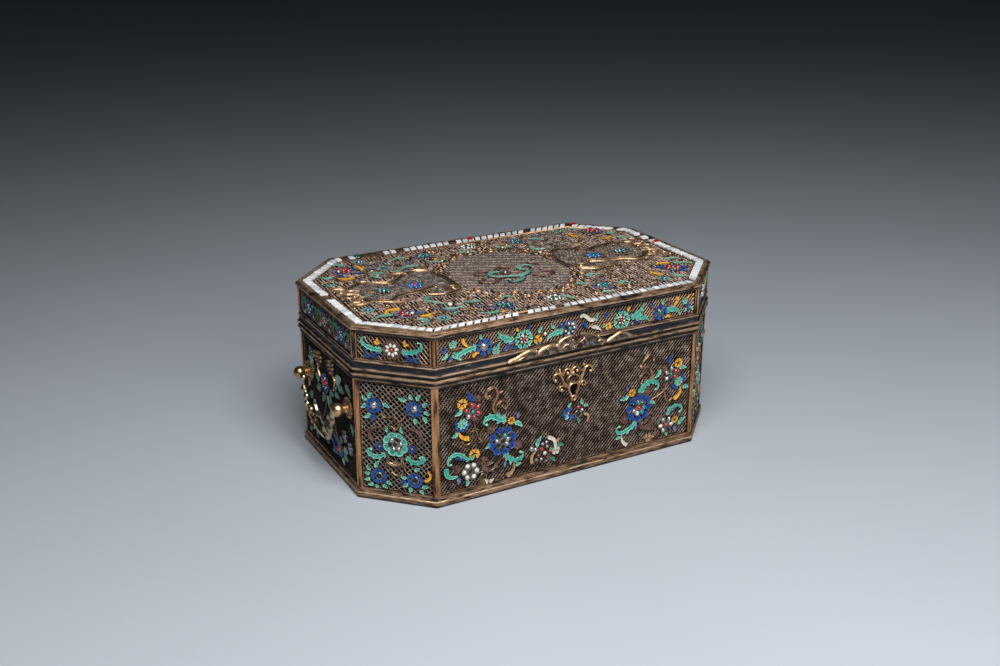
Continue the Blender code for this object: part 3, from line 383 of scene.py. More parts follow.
def crossings(outline, point, direction):
    """Where a line through point runs inside an outline, as pairs of distances along it."""
    outline = np.asarray(outline, float)
    edge = np.roll(outline, -1, 0) - outline
    across_edge = direction[0] * edge[:, 1] - direction[1] * edge[:, 0]
    gap = outline - point
    with np.errstate(divide="ignore", invalid="ignore"):
        along = (gap[:, 0] * edge[:, 1] - gap[:, 1] * edge[:, 0]) / across_edge
        share = (gap[:, 0] * direction[1] - gap[:, 1] * direction[0]) / across_edge
    hits = np.sort(along[(share >= 0) & (share < 1) & (np.abs(across_edge) > 1e-9)])
    return list(zip(hits[::2], hits[1::2]))


class Work:
    """A piece in the making."""

    def __init__(self, name, body, slot, *replaced):
        self.name, self.body, self.slot, self.replaced = name, body, slot, replaced
        self.points, self.faces, self.kinds, self.count = [], [], [], 0

    def add(self, solid, kind, place=None):
        """Takes one material for the whole solid, or one for each block of its faces."""
        points, faces = solid
        if place is not None:
            points = points @ place[:3, :3].T + place[:3, 3]
        self.points.append(points)
        kinds = kind if isinstance(kind, tuple) else (kind,) * len(faces)
        for block, block_kind in zip(faces, kinds):
            self.faces.append(block + self.count)
            self.kinds.append(block_kind)
        self.count += len(points)

    def make(self, smooth_below=50):
        names = list(dict.fromkeys(self.kinds))
        mesh = bpy.data.meshes.new(self.name)
        points = (np.concatenate(self.points) * MM).astype(np.float32)
        mesh.vertices.add(len(points))
        mesh.vertices.foreach_set("co", points.ravel())
        sizes = np.concatenate([np.full(len(block), block.shape[1]) for block in self.faces])
        loops = np.concatenate([block.ravel() for block in self.faces]).astype(np.int32)
        starts = np.concatenate(([0], np.cumsum(sizes)[:-1])).astype(np.int32)
        kinds = np.concatenate([np.full(len(block), names.index(kind))
                                for block, kind in zip(self.faces, self.kinds)])
        mesh.loops.add(len(loops))
        mesh.loops.foreach_set("vertex_index", loops)
        mesh.polygons.add(len(sizes))
        mesh.polygons.foreach_set("loop_start", starts)
        mesh.polygons.foreach_set("material_index", kinds.astype(np.int32))
        for name in names:
            mesh.materials.append(MATERIALS[name])
        mesh.update(calc_edges=True)
        mesh.validate()
        mesh.shade_smooth()
        mesh.set_sharp_from_angle(angle=math.radians(smooth_below))
        piece = bpy.data.objects.new(self.name, mesh)
        bpy.context.scene.collection.objects.link(piece)
        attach(piece, self.body)
        if self.replaced:
            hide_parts(*self.replaced)


# The plan


def octagon(offset):
    x, y = LENGTH / 2 - offset, WIDTH / 2 - offset
    cut = CORNER_CUT - offset * (2 - math.sqrt(2))
    return np.array(((cut - x, -y), (x - cut, -y), (x, cut - y), (x, y - cut),
                     (x - cut, y), (cut - x, y), (-x, y - cut), (-x, cut - y)))


def side_place(side, out=0):
    """The matrix from a side's own axes (along, up, outward) to the casket's."""
    corners = octagon(WALL)
    index = SIDES.index(side)
    start, end = corners[index], corners[(index + 1) % 8]
    along = (end - start) / np.linalg.norm(end - start)
    outward = np.array((along[1], -along[0]))
    middle = (start + end) / 2 + out * outward
    place = np.eye(4)
    place[:3, 0] = (*along, 0)
    place[:3, 1] = UP
    place[:3, 2] = (*outward, 0)
    place[:3, 3] = (*middle, 0)
    return place


def half_width(side):
    corners = octagon(WALL)
    index = SIDES.index(side)
    return np.linalg.norm(corners[(index + 1) % 8] - corners[index]) / 2 - POST


# Ornaments

# Half outlines: (share of the length, share of the width)
PETALS = {
    "tipped": ((0, 0.12), (0.28, 0.24), (0.48, 0.46), (0.64, 0.5), (0.78, 0.28), (1, 0)),
    "heart": ((0, 0.08), (0.3, 0.26), (0.6, 0.47), (0.85, 0.5), (1, 0.3), (0.86, 0)),
    "round": ((0, 0.16), (0.25, 0.4), (0.6, 0.5), (0.88, 0.36), (1, 0)),
    "slim": ((0, 0.08), (0.35, 0.26), (0.65, 0.34), (0.9, 0.2), (1, 0)),
    "drop": ((0, 0.05), (0.3, 0.28), (0.62, 0.42), (0.88, 0.3), (1, 0)),
}
LEAF = ((0, 0.12), (0.12, 0.6), (0.3, 1.08), (0.42, 0.7), (0.6, 0.92), (0.7, 0.5), (0.86, 0.42),
        (1, 0))
TOOTH = ((0, 0.5), (0.4, 0.62), (0.75, 0.34), (1, 0))
# An enamel tray's depth and dip, and the radius of the wire round it
TRAY_DEPTH, DISH, RIM_WIRE = 0.45, 0.12, 0.1


class Bench:
    """Sets ornaments on one surface. Heights are above the wire ground."""

    def __init__(self, work, place, swap=None):
        self.work, self.place, self.swap = work, place, swap or {}

    def put(self, solid, kind):
        kinds = kind if isinstance(kind, tuple) else (kind,) * len(solid[1])
        self.work.add(solid, tuple(self.swap.get(one, one) for one in kinds), self.place)

    def wire(self, points, radius, kind, height, sides, closed=False):
        self.put(loft(lift(points, height), radius, radius, ROUND[sides], closed), kind)

    def vine(self, points, start, end, kind="vine", height=0.7, thick=0.4, section=VINE,
             steps=4, bead=0):
        """A ribbon that tapers from one width to the other, with a bead at its end."""
        path = smooth(points, steps)
        share = np.linspace(0, 1, len(path))
        half = (start + (end - start) * share) / 2
        half[0] *= 0.4
        half[-1] *= 0.5
        self.put(loft(lift(path, height), half, thick, section), kind)
        if bead:
            self.bead(path[-1], bead, kind, height)

    def bead(self, centre, radius, kind, height=0.8, flat=0.8):
        profile = [(0, -flat * radius), (0.7 * radius, -0.7 * flat * radius), (radius, 0),
                   (0.7 * radius, 0.7 * flat * radius), (0, flat * radius)]
        self.put_at(turned(profile, 8), kind, centre, height)

    def put_at(self, solid, kind, centre, height, angle=0, stretch=(1, 1)):
        points, faces = solid
        c, s = math.cos(angle), math.sin(angle)
        x, y = points[:, 0] * stretch[0], points[:, 1] * stretch[1]
        placed = np.column_stack((centre[0] + c * x - s * y, centre[1] + s * x + c * y,
                                  points[:, 2] + height))
        self.put((placed, faces), kind)

    def cell(self, outline, kind, height, rim="rim", wired=True):
        """A tray of enamel, paler at its edge, with a fine wire round it."""
        outline = np.asarray(outline, float)
        edge = EDGES.get(kind, kind)
        self.put(plate(outline, np.mean(height) - TRAY_DEPTH, height, -DISH),
                 (rim, edge, kind, rim))
        if wired:
            self.wire(outline, RIM_WIRE, rim, np.asarray(height) + 0.02, 3, True)

    def leaf(self, base, tip, width, kind="turquoise", height=0.8, bow=0.1):
        base, tip = np.array(base, float), np.array(tip, float)
        run = tip - base
        side = np.array((-run[1], run[0])) / np.linalg.norm(run)
        spine = [base + t * run + bow * math.sin(math.pi * t) * np.linalg.norm(run) * side
                 for t, _ in LEAF]
        left = [p + 0.5 * width * w * side for p, (_, w) in zip(spine, LEAF)]
        right = [p - 0.5 * width * w * side for p, (_, w) in zip(spine[:-1], LEAF[:-1])]
        outline = left + right[::-1]
        slope = np.array([t for t, _ in LEAF] + [t for t, _ in LEAF[:-1]][::-1])
        self.cell(outline, kind, height + 0.3 * slope)
        if width > 2.3 and kind == "turquoise":
            self.wire(spine[:-1], 0.12, "mint", height - 0.02, 3)

    def curl(self, points, start, end, kind="turquoise", height=0.85, lobes=0, bead=0,
             rim="rim"):
        """An enamelled scroll: a tray between two edges, and an acanthus leaf when it has lobes."""
        path = smooth(points)
        share = np.linspace(0, 1, len(path))
        half = (start + (end - start) * share) / 2
        if lobes:
            half = half * (0.34 + 0.32 * np.sin(math.pi * np.minimum(share * 1.25, 1)))
        half[0] *= 0.4
        half[-1] *= 0.6
        line = lift(path, height)
        self.put(loft(line, half, 0.3, TRAY), kind)
        side = across(line, False)
        edge = EDGES.get(kind, rim)
        thick = 0.16 if kind in EDGES else 0.1
        for hand in (-1, 1):
            self.wire((line + side * (hand * half)[:, None])[:, :2], thick, edge, height + 0.22, 3)
        if bead:
            self.bead(path[-1], 0.85 * bead, edge if kind in EDGES else kind, height + 0.1)
        if lobes:
            self.teeth(path, start, end, kind, height, lobes + 2)

    def petals(self, centre, inner, outer, count, shape, kind, turn=0, height=0.9,
               width=1, cup=0.25, skip=(), rim="rim"):
        """A ring of petals, each a tray of its own."""
        span = 2 * outer * math.sin(math.pi / count) * 0.84 * width
        half = PETALS[shape]
        outline = [*half, *((x, -y) for x, y in half[::-1] if y > 0)]
        for i in range(count):
            if i in skip:
                continue
            angle = math.radians(turn) + TAU * i / count
            c, s = math.cos(angle), math.sin(angle)
            spots, heights = [], []
            for x, y in outline:
                along, aside = inner + x * (outer - inner), y * span
                spots.append((centre[0] + c * along - s * aside,
                              centre[1] + s * along + c * aside))
                heights.append(height + cup * x)
            self.cell(spots, kind, np.array(heights), rim=rim)

    def stone(self, centre, radius, kind, height=0.7, cup="silver", angle=0,
              stretch=(1, 1), dome=0.75, sides=10):
        """A domed stone in a cup, or the empty cup when kind is dark."""
        bezel = [(0, -0.5), (0.9 * radius, -0.5), (1.08 * radius, 0), (1.02 * radius, 0.22),
                 (0.86 * radius, 0.2), (0.8 * radius, -0.12), (0, -0.2)]
        self.put_at(turned(bezel, sides), cup, centre, height, angle, stretch)
        if kind == "dark":
            well = [(0, -0.3), (0.78 * radius, -0.3), (0.78 * radius, -0.05), (0, -0.12)]
            self.put_at(turned(well, sides), kind, centre, height, angle, stretch)
            return
        r, h = 0.86 * radius, dome * radius
        top = [(0, -0.3), (r, -0.3), (r, 0.05), (0.88 * r, 0.05 + 0.48 * h),
               (0.5 * r, 0.05 + 0.86 * h), (0, 0.05 + h)]
        self.put_at(turned(top, sides), kind, centre, height, angle, stretch)

    def stones(self, centre, reach, radius, kinds, turn=0, height=0.8, stretch=(1, 1), sides=8):
        """A ring of stones, one for each kind."""
        for i, kind in enumerate(kinds):
            angle = math.radians(turn) + TAU * i / len(kinds)
            spot = (centre[0] + reach * math.cos(angle), centre[1] + reach * math.sin(angle))
            self.stone(spot, radius, kind, height, angle=angle, stretch=stretch, sides=sides)

    def swirl(self, centre, radius, kind="yellow", turn=0):
        """A small rosette with a wire curled up in it."""
        self.petals(centre, 0.25 * radius, radius, 5, "heart", kind, turn, 0.7)
        self.wire(spiral(centre, 0.5 * radius, 0.1 * radius, turn, 400, 10), 0.16, "vine",
                  1.05, 4)

    def net(self, outline, pitch, degrees, radius, kind, swing, level, step=0, weave=0, sway=0,
            cross=None):
        """Parallel wires inside an outline that rise and fall along their way.

        With weave they also bend to and fro, each against its neighbours, like a chain-link fence.
        With cross, the other wires' pitch and direction, they rise and fall where the two meet.
        """
        angle = math.radians(degrees)
        run = np.array((math.cos(angle), math.sin(angle)))
        normal = np.array((-run[1], run[0]))
        outline = np.asarray(outline, float)
        other, turn = cross or (step or pitch, degrees - 90)
        turn = math.radians(turn - degrees)
        reach = outline @ normal
        for k in range(math.floor(reach.min() / pitch), math.ceil(reach.max() / pitch) + 1):
            for start, end in crossings(outline, normal * (k + 0.5) * pitch, run):
                if end - start < 4 * radius + 2 * sway:
                    continue
                shift = (k + 0.5) * pitch * math.cos(turn)
                reached = sorted((shift - stop * math.sin(turn)) / other for stop in (start, end))
                meets = [(i, (shift - (i + 0.5) * other) / math.sin(turn))
                         for i in range(math.floor(reached[0]), math.ceil(reached[1]) + 1)]
                meets = sorted((stop, i) for i, stop in meets
                               if start + 0.3 * other < stop < end - 0.3 * other)
                stops = np.array([start, *(stop for stop, _ in meets), end])
                parity = np.array([0, *(2 * ((i + k) % 2) - 1 for _, i in meets), 0])
                drift = sway * np.sin(stops / 9 + 1.7 * k) + weave * parity
                drift[0] = drift[-1] = 0
                line = normal * (k + 0.5) * pitch + stops[:, None] * run + drift[:, None] * normal
                self.put(loft(lift(line, level + swing * parity), radius, radius, ROUND[4]),
                         kind)

    def tooth(self, base, tip, width, kind, height):
        """A small pointed lobe of a leaf."""
        run = np.array(tip, float) - base
        side = np.array((-run[1], run[0])) / np.linalg.norm(run) * width
        spots = [base + t * run + w * side for t, w in TOOTH]
        spots += [base + t * run - w * side for t, w in TOOTH[-2::-1]]
        slope = [t for t, _ in TOOTH] + [t for t, _ in TOOTH[-2::-1]]
        self.cell(spots, kind, height + 0.25 * np.array(slope), wired=False)

    def teeth(self, path, start, end, kind, height, count):
        """Pointed lobes on both sides of a scroll, leaning forward along it."""
        ahead = np.gradient(path, axis=0)
        ahead /= np.linalg.norm(ahead, axis=1)[:, None]
        for i in range(count):
            share = 0.02 + 0.74 * i / count
            k = min(int(share * (len(path) - 1)), len(path) - 2)
            reach = (start + (end - start) * share) * (0.62 + 0.2 * math.sin(math.pi * share))
            normal = np.array((-ahead[k][1], ahead[k][0]))
            for hand in (-1, 1):
                base = path[k] + 0.06 * reach * hand * normal
                tip = base + reach * (0.8 * hand * normal + 0.62 * ahead[k])
                self.tooth(base, tip, 0.5 * reach, kind, height - 0.04)


# Shells

# Profiles: (distance in from the plan, height, kind of the strip above)
BODY_PROFILE = [
    (1, 0, "gilt_dull"), (0.2, 0.4, "band"), (0.15, 1.2, "gilt_dull"), (0.3, 1.6, "band"),
    (0.1, 1.9, "gilt_dull"), (0, 2.4, "gilt_dull"), (0.2, 2.8, "band"), (0.25, 3, "gilt"),
    (0, 3.3, "gilt"), (0, 3.9, "gilt"), (0.4, 4.2, "band"), (0.5, 4.45, "gilt_dull"),
    (0.5, 4.9, "gilt_dull"), (0.9, 5.1, "band"), (1.3, 5.35, "gilt_dull"), (1.5, 5.6, "gilt_dull"),
    (WALL, BODY_PANEL[0], "panel"), (WALL, BODY_PANEL[1], "band"),
    (1.1, 77.4, "gilt_dull"), (1, 77.8, "gilt_dull"),
    (1.5, 78.1, "band"), (1.5, 79.7, "band"), (0.5, 79.9, "band"), (0.1, 80.3, "gilt_dull"),
    (0, 80.7, "gilt_dull"), (0, 81, "gilt"), (0.2, 81.7, "gilt_dull"), (0.6, 82, "lining"),
    (INNER, 82, "lining"), (INNER, 1.6, "lining"),
]
LID_PROFILE = [
    (INNER, 107.4, "lining"), (INNER, 82.3, "lining"), (1.2, 82.3, "band"), (1.2, 83.5, "band"),
    (0.4, 83.7, "band"), (0.05, 84, "gilt_dull"), (0, 84.4, "gilt"), (0.1, 84.9, "gilt_dull"),
    (0.5, 85.2, "band"), (1.1, 85.6, "band"), (1.3, 86, "band"), (1.3, 88.5, "band"),
    (1.1, 88.8, "gilt_dull"), (0.8, 89, "gilt"), (0.8, 89.5, "gilt_dull"), (1.2, 89.8, "band"),
    (WALL, LID_PANEL[0], "panel"), (WALL, LID_PANEL[1], "band"),
    (1.1, 107.2, "gilt_dull"), (1, 107.5, "band"),
    (1, 108.3, "band"), (0.5, 108.6, "gilt_dull"), (0.1, 109, "gilt"), (0, 109.4, "gilt"),
    (0.1, 109.8, "gilt_dull"), (0.4, 110.3, "band"), (0.7, 110.5, "gilt_dull"),
    (1.1, 110.9, "band"), (1.6, 110.9, "gilt_dull"), (2.2, 111.2, "gilt"),
    (2.8, 111, "gilt_dull"), (3.4, 111.1, "gilt"), (4.2, 111.3, "band"),
    (4.2, FIELD_FLOOR, "band"),
]


def shell(name, body, profile, node_name, post):
    """The shell swept round the plan, with a recess on each side of its panel band."""
    work = Work(name, body, "gilt_silver", node_name)
    rings = [np.column_stack((octagon(offset), np.full(8, height))) for offset, height, _ in profile]
    for (_, _, kind), ring, following in zip(profile, rings, rings[1:]):
        for i, side in enumerate(SIDES):
            j = (i + 1) % 8
            outer = np.array((ring[i], ring[j], following[j], following[i]))
            if kind != "panel":
                work.add((outer, [QUAD]), kind)
                continue
            place = side_place(side)
            half = half_width(side)
            low, high = ring[i][2] + EDGE, following[i][2] - EDGE
            local = np.array([(-half, low, 0), (half, low, 0), (half, high, 0), (-half, high, 0)])
            front = local @ place[:3, :3].T + place[:3, 3]
            corners = np.concatenate((outer, front, front - RECESS * place[:3, 2]))
            # The frame's top face and all recess walls take the dark band: painted shade under the
            # moulding and inside the recess
            for a, frame_kind in enumerate(("gilt_dull", post, "band", post)):
                b = (a + 1) % 4
                work.add((corners, [np.array([(a, b, 4 + b, 4 + a)])]), frame_kind)
                work.add((corners, [np.array([(4 + a, 4 + b, 8 + b, 8 + a)])]), "band")
            work.add((corners, [8 + QUAD]), "backing")
    for ring, order, kind in ((rings[0], -1, profile[0][2]), (rings[-1], 1, profile[-1][2])):
        fan = np.array([(i, (i + 1) % 8, 8)[::order] for i in range(8)])
        work.add((np.vstack((ring, ring.mean(0))), [fan]), kind)
    return work


def post_trim(work, low, high, rods):
    """Upright rods on both faces of each corner post, each given as (distance, radius)."""
    corners = octagon(WALL)
    for i, corner in enumerate(corners):
        for other in (corners[(i + 1) % 8], corners[i - 1]):
            along = (other - corner) / np.linalg.norm(other - corner)
            for reach, radius in rods:
                spot = corner + reach * along
                steps = np.linspace(low, high, 9)
                points, faces = turned([(0, low)] + [(radius, z) for z in steps] + [(0, high)], 8)
                work.add((points + (spot[0], spot[1], 0), faces), "post")


def build_shells():
    body = shell("casket_shell", "body", BODY_PROFILE, "body_shell", "post")
    post_trim(body, BODY_PANEL[0] + 0.2, BODY_PANEL[1] - 0.2, ((POST - 0.3, 0.3),))
    body.make(smooth_below=35)
    lid = shell("lid_shell_fine", "lid", LID_PROFILE, "lid_shell", "band")
    post_trim(lid, LID_PANEL[0] + 0.2, LID_PANEL[1] - 0.2, ((0.4, 0.38), (POST - 0.35, 0.38)))
    lid.make(smooth_below=35)


# Panels

# Wire grounds: (pitch, degrees, radius) of each of two sets of wires
FRONT_WIRES = ((1.91, 49.1, 0.33), (1.7, -47.2, 0.3))
LID_WIRES = ((1.75, 50, 0.28), (1.75, -50, 0.28))
CANTED_LID_WIRES = ((2.15, 50, 0.27), (2.15, -50, 0.27))
PLAIN_WIRES = ((2.4, -50, 0.25), (2.4, 50, 0.25))


def crossed_net(bench, outline, wires, kind, swing, levels):
    """Two sets of wires that pass over and under each other."""
    for i, (pitch, degrees, radius) in enumerate(wires):
        bench.net(outline, pitch, degrees, radius, kind, (swing, -swing)[i], levels[i],
                  cross=wires[1 - i][:2])


def panel(side, part):
    """The bench of one panel, with its backing plate and its wire ground.

    The body's front has so much wire that its ground is a piece of its own.
    """
    low, high = BODY_PANEL if part == "body" else LID_PANEL
    low, high = low + EDGE + PANEL_GAP, high - EDGE - PANEL_GAP
    half = half_width(side) - PANEL_GAP
    name = "filigree_" + part + "_" + side
    bench = Bench(Work(name, part, "filigree_silver", part + "_panel_" + side),
                  side_place(side, GROUND))
    outline = [(-half, low), (half, low), (half, high), (-half, high)]
    bench.put(plate(outline, -0.75, -0.6, 0, 0.9), "backing")
    if side == "front" and part == "body":
        ground = Bench(Work("wire_ground_front", part, "filigree_silver"), bench.place)
        crossed_net(ground, outline, FRONT_WIRES, "wire", 0.15, (-0.1, -0.12))
        ground.work.make()
    elif part == "lid":
        wires = CANTED_LID_WIRES if "_" in side else LID_WIRES
        crossed_net(bench, outline, wires, "wire_side", 0.12, (-0.2, -0.22))
    elif side in ("left", "right", "back"):
        # The wire grounds of the two ends are near black: painted shade
        kind = "wire_low" if side == "back" else "dark"
        crossed_net(bench, outline, PLAIN_WIRES, kind, 0.12, (-0.3, -0.3))
    else:
        # Both sets on the canted sides are the same wire: one set is painted darker as shaded, the
        # other paler as lit
        bench.net(outline, 2.38, -48, 0.32, "wire_dim", 0.14, -0.12, step=1.25, weave=0.22)
        bench.net(outline, 2.5, 41, 0.28, "wire_pale", 0.15, -0.1, step=2.38)
    bench.wire(outline, 0.24, "post", 0, 6, True)
    return bench


def beside(middle, hand, *points):
    """Points given by their distance from a middle, put to its right, or to its left for -1."""
    return [(middle + hand * u, z) for u, z in points]


def leaves(b, kind, *rows):
    """Leaves of one kind, each given as (u and z of the base, u and z of the tip, width)."""
    for u, z, tip_u, tip_z, width in rows:
        b.leaf((u, z), (tip_u, tip_z), width, kind)


def bare_blossom(b, centre, radius, kind="bare"):
    b.petals(centre, 0.2 * radius, radius, 6, "round", kind, 15, 0.5, rim=kind)
    b.bead(centre, 0.3 * radius, kind, 0.7)


def big_flower(b, centre, turn, stones, middle):
    b.petals(centre, 4.4, 10.3, 8, "tipped", "navy", turn, 0.75, 0.9, 0.3)
    b.petals(centre, 1, 5.6, 7, "round", "silver", turn + 12, 0.55, rim="silver")
    b.stones(centre, 3.7, 1.75, stones, turn + 12, 1, (1.15, 0.95))
    b.stone(centre, 1.9, middle, 1.1)


def front_left_spray(b):
    bare_blossom(b, (-65.4, 65.2), 2.4)
    b.swirl((-75.6, 63.7), 3.4, "yellow", 40)
    red = (-68.7, 57.3)
    b.petals(red, 1, 5.9, 6, "slim", "silver", 38, 0.5, 1.2, rim="silver")
    b.stones(red, 4.1, 1.75, ["garnet", "garnet", "garnet", "paste", "garnet", "garnet"], 40,
             0.9, (1.25, 0.85))
    b.stone(red, 1.5, "teal", 1.1)
    blue = (-75.7, 51)
    b.petals(blue, 1.8, 5.2, 5, "heart", "royal", 182, 0.7, skip=(3, 4))
    b.petals(blue, 0.2, 3.3, 4, "heart", "turquoise", 45, 1)
    b.curl([(-78.2, 45.9), (-76.8, 43), (-74.2, 41.2), (-71.4, 40.4)], 1.2, 3.4, "yellow")
    b.vine([(-76.1, 39.7), (-74.6, 37), (-72, 36.4), (-69.6, 38.3), (-68.6, 42.9)], 1.3, 0.9)
    b.vine([(-73.5, 40.2), (-71.6, 39), (-69.8, 40.4)], 0.9, 0.7)
    b.vine([(-68, 50.4), (-66.8, 45.2), (-64, 38), (-58, 35.5)], 0.9, 1.2)
    b.vine([(-70.6, 44.4), (-65, 45.2)], 0.7, 0.7)
    b.vine([(-61.4, 44.8), (-63.6, 42), (-63.5, 37.6)], 0.9, 0.9)
    b.vine([(-65.3, 36.3), (-62, 36.6)], 0.8, 0.8)
    b.vine([(-57.6, 64), (-59.6, 64.2), (-60, 67), (-57.7, 69.5), (-54.2, 69.6),
            (-52.2, 66.6), (-52.6, 63), (-54.4, 60), (-55.1, 56.8), (-53.6, 52.6)],
           1.9, 1.7, section=GROOVED, height=0.8)
    b.bead((-57.4, 64.3), 1.2, "vine", 0.9)
    b.vine([(-52.6, 67.6), (-50.8, 65.2), (-48.4, 66.2)], 2.2, 1.2)
    b.vine([(-52.7, 53.4), (-53.2, 57.3), (-50.2, 60), (-46.8, 59.4), (-45.3, 56.4),
            (-47, 54.4), (-48.5, 56.2)], 1.1, 1, section=GROOVED, bead=0.6)
    b.curl([(-46.6, 47.6), (-50, 47.8), (-53.6, 50.4), (-57.4, 51.4), (-60.4, 50.2),
            (-61.4, 47.8), (-59.6, 46.6)], 5.2, 1.5, lobes=3, bead=1.1)
    big_flower(b, (-48.7, 33.4), 104, ["dark", "paste", "dark", "dark", "paste", "paste", "teal"],
               "dark")
    b.swirl((-42.8, 45.8), 2.6, "yellow", 10)
    bare_blossom(b, (-56.6, 42.8), 2.9)
    bare_blossom(b, (-37.9, 28.4), 3)
    b.curl([(-46.8, 24.6), (-45.6, 22), (-42.6, 19.6), (-38.8, 18.4), (-35.2, 19.6),
            (-34.6, 22.4), (-36.2, 23)], 4.2, 1.5, lobes=3, bead=1.1)
    b.curl([(-40.6, 17), (-40.9, 13), (-42.8, 10.4), (-45.6, 9)], 0.9, 3.2, "tan")
    b.curl([(-60.6, 25.4), (-62.4, 21.6), (-60.2, 17.8), (-56.2, 16), (-52.8, 18.6),
            (-50, 21.6), (-46.8, 22)], 5, 1.2, "bare", lobes=4, rim="bare")
    b.leaf((-60.4, 20.4), (-55.2, 20.8), 3, "bare", 1)
    b.vine([(-66.2, 15.8), (-62, 16.2), (-58.5, 15.4), (-52.4, 16.9)], 0.8, 0.8, "silver")
    trumpet(b, (-62, 12.6), -30)
    white = (-70.7, 18.4)
    b.petals(white, 1.4, 6.2, 6, "round", "silver", 118, 0.5, rim="silver")
    b.stones(white, 4.3, 1.85, ["pearl"] * 6, 118, 0.9)
    b.stone(white, 1.7, "dark", 0.9)
    b.petals((-68, 29.2), 1, 3.8, 6, "heart", "yellow", 30, 0.7, skip=(4,))
    b.leaf((-70, 25.6), (-67.6, 29.4), 2.6, height=1)
    b.curl([(-71.6, 26.2), (-75.2, 29.4), (-79, 31.8), (-83, 31.4), (-85.6, 28.8),
            (-85.4, 26), (-83.6, 25.8)], 3.4, 1.4, lobes=2, bead=0.9)
    b.curl([(-79.4, 17.2), (-83.4, 17.2), (-86.4, 19.6), (-87, 23.8)], 1, 3.2)
    bare_blossom(b, (-79.9, 21.6), 2.7)
    leaves(b, "navy", (-67.3, 64.1, -71.9, 71.1, 3.4), (-81, 29.4, -74, 26.2, 2.3))
    leaves(b, "turquoise", (-75.5, 60.4, -81, 56.9, 3.2), (-78.6, 45.8, -83.3, 43.4, 3.1),
           (-50.6, 49.2, -51.2, 53, 2.4), (-49, 48, -46.4, 51.2, 2.4), (-40.6, 44.2, -35, 39.9, 3.5),
           (-57, 34.2, -60.9, 31, 3), (-43.6, 20, -43.4, 16, 2.4), (-39.6, 14.4, -35.4, 15.6, 2.7),
           (-74.2, 28.4, -77.4, 33, 2), (-72.6, 13, -73.6, 9, 2.9))
    leaves(b, "slate", (-38.3, 46.2, -37.4, 50.8, 2.4), (-46.9, 19.4, -48, 15.6, 2.2),
           (-78.8, 16, -79.2, 11.6, 3))


def trumpet(b, centre, degrees):
    """A bell flower seen from its side: a round mouth and two turned-back lips."""
    angle = math.radians(degrees)
    c, s = math.cos(angle), math.sin(angle)

    def at(x, y):
        return (centre[0] + c * x - s * y, centre[1] + s * x + c * y)

    b.stone(at(0, 0), 2.4, "dark", 0.9, "vine")
    b.vine([at(-1.2, -1), at(1.8, -3.4), at(2.6, -6.6)], 3.6, 2.4, "vine", 0.6)
    b.petals(at(5, -0.6), 0.3, 3, 3, "heart", "ivory", degrees - 10, 0.7, rim="vine", skip=(1,))
    b.petals(at(4.2, -5), 0.3, 2.8, 3, "heart", "tan", degrees - 70, 0.7, rim="vine", skip=(1,))


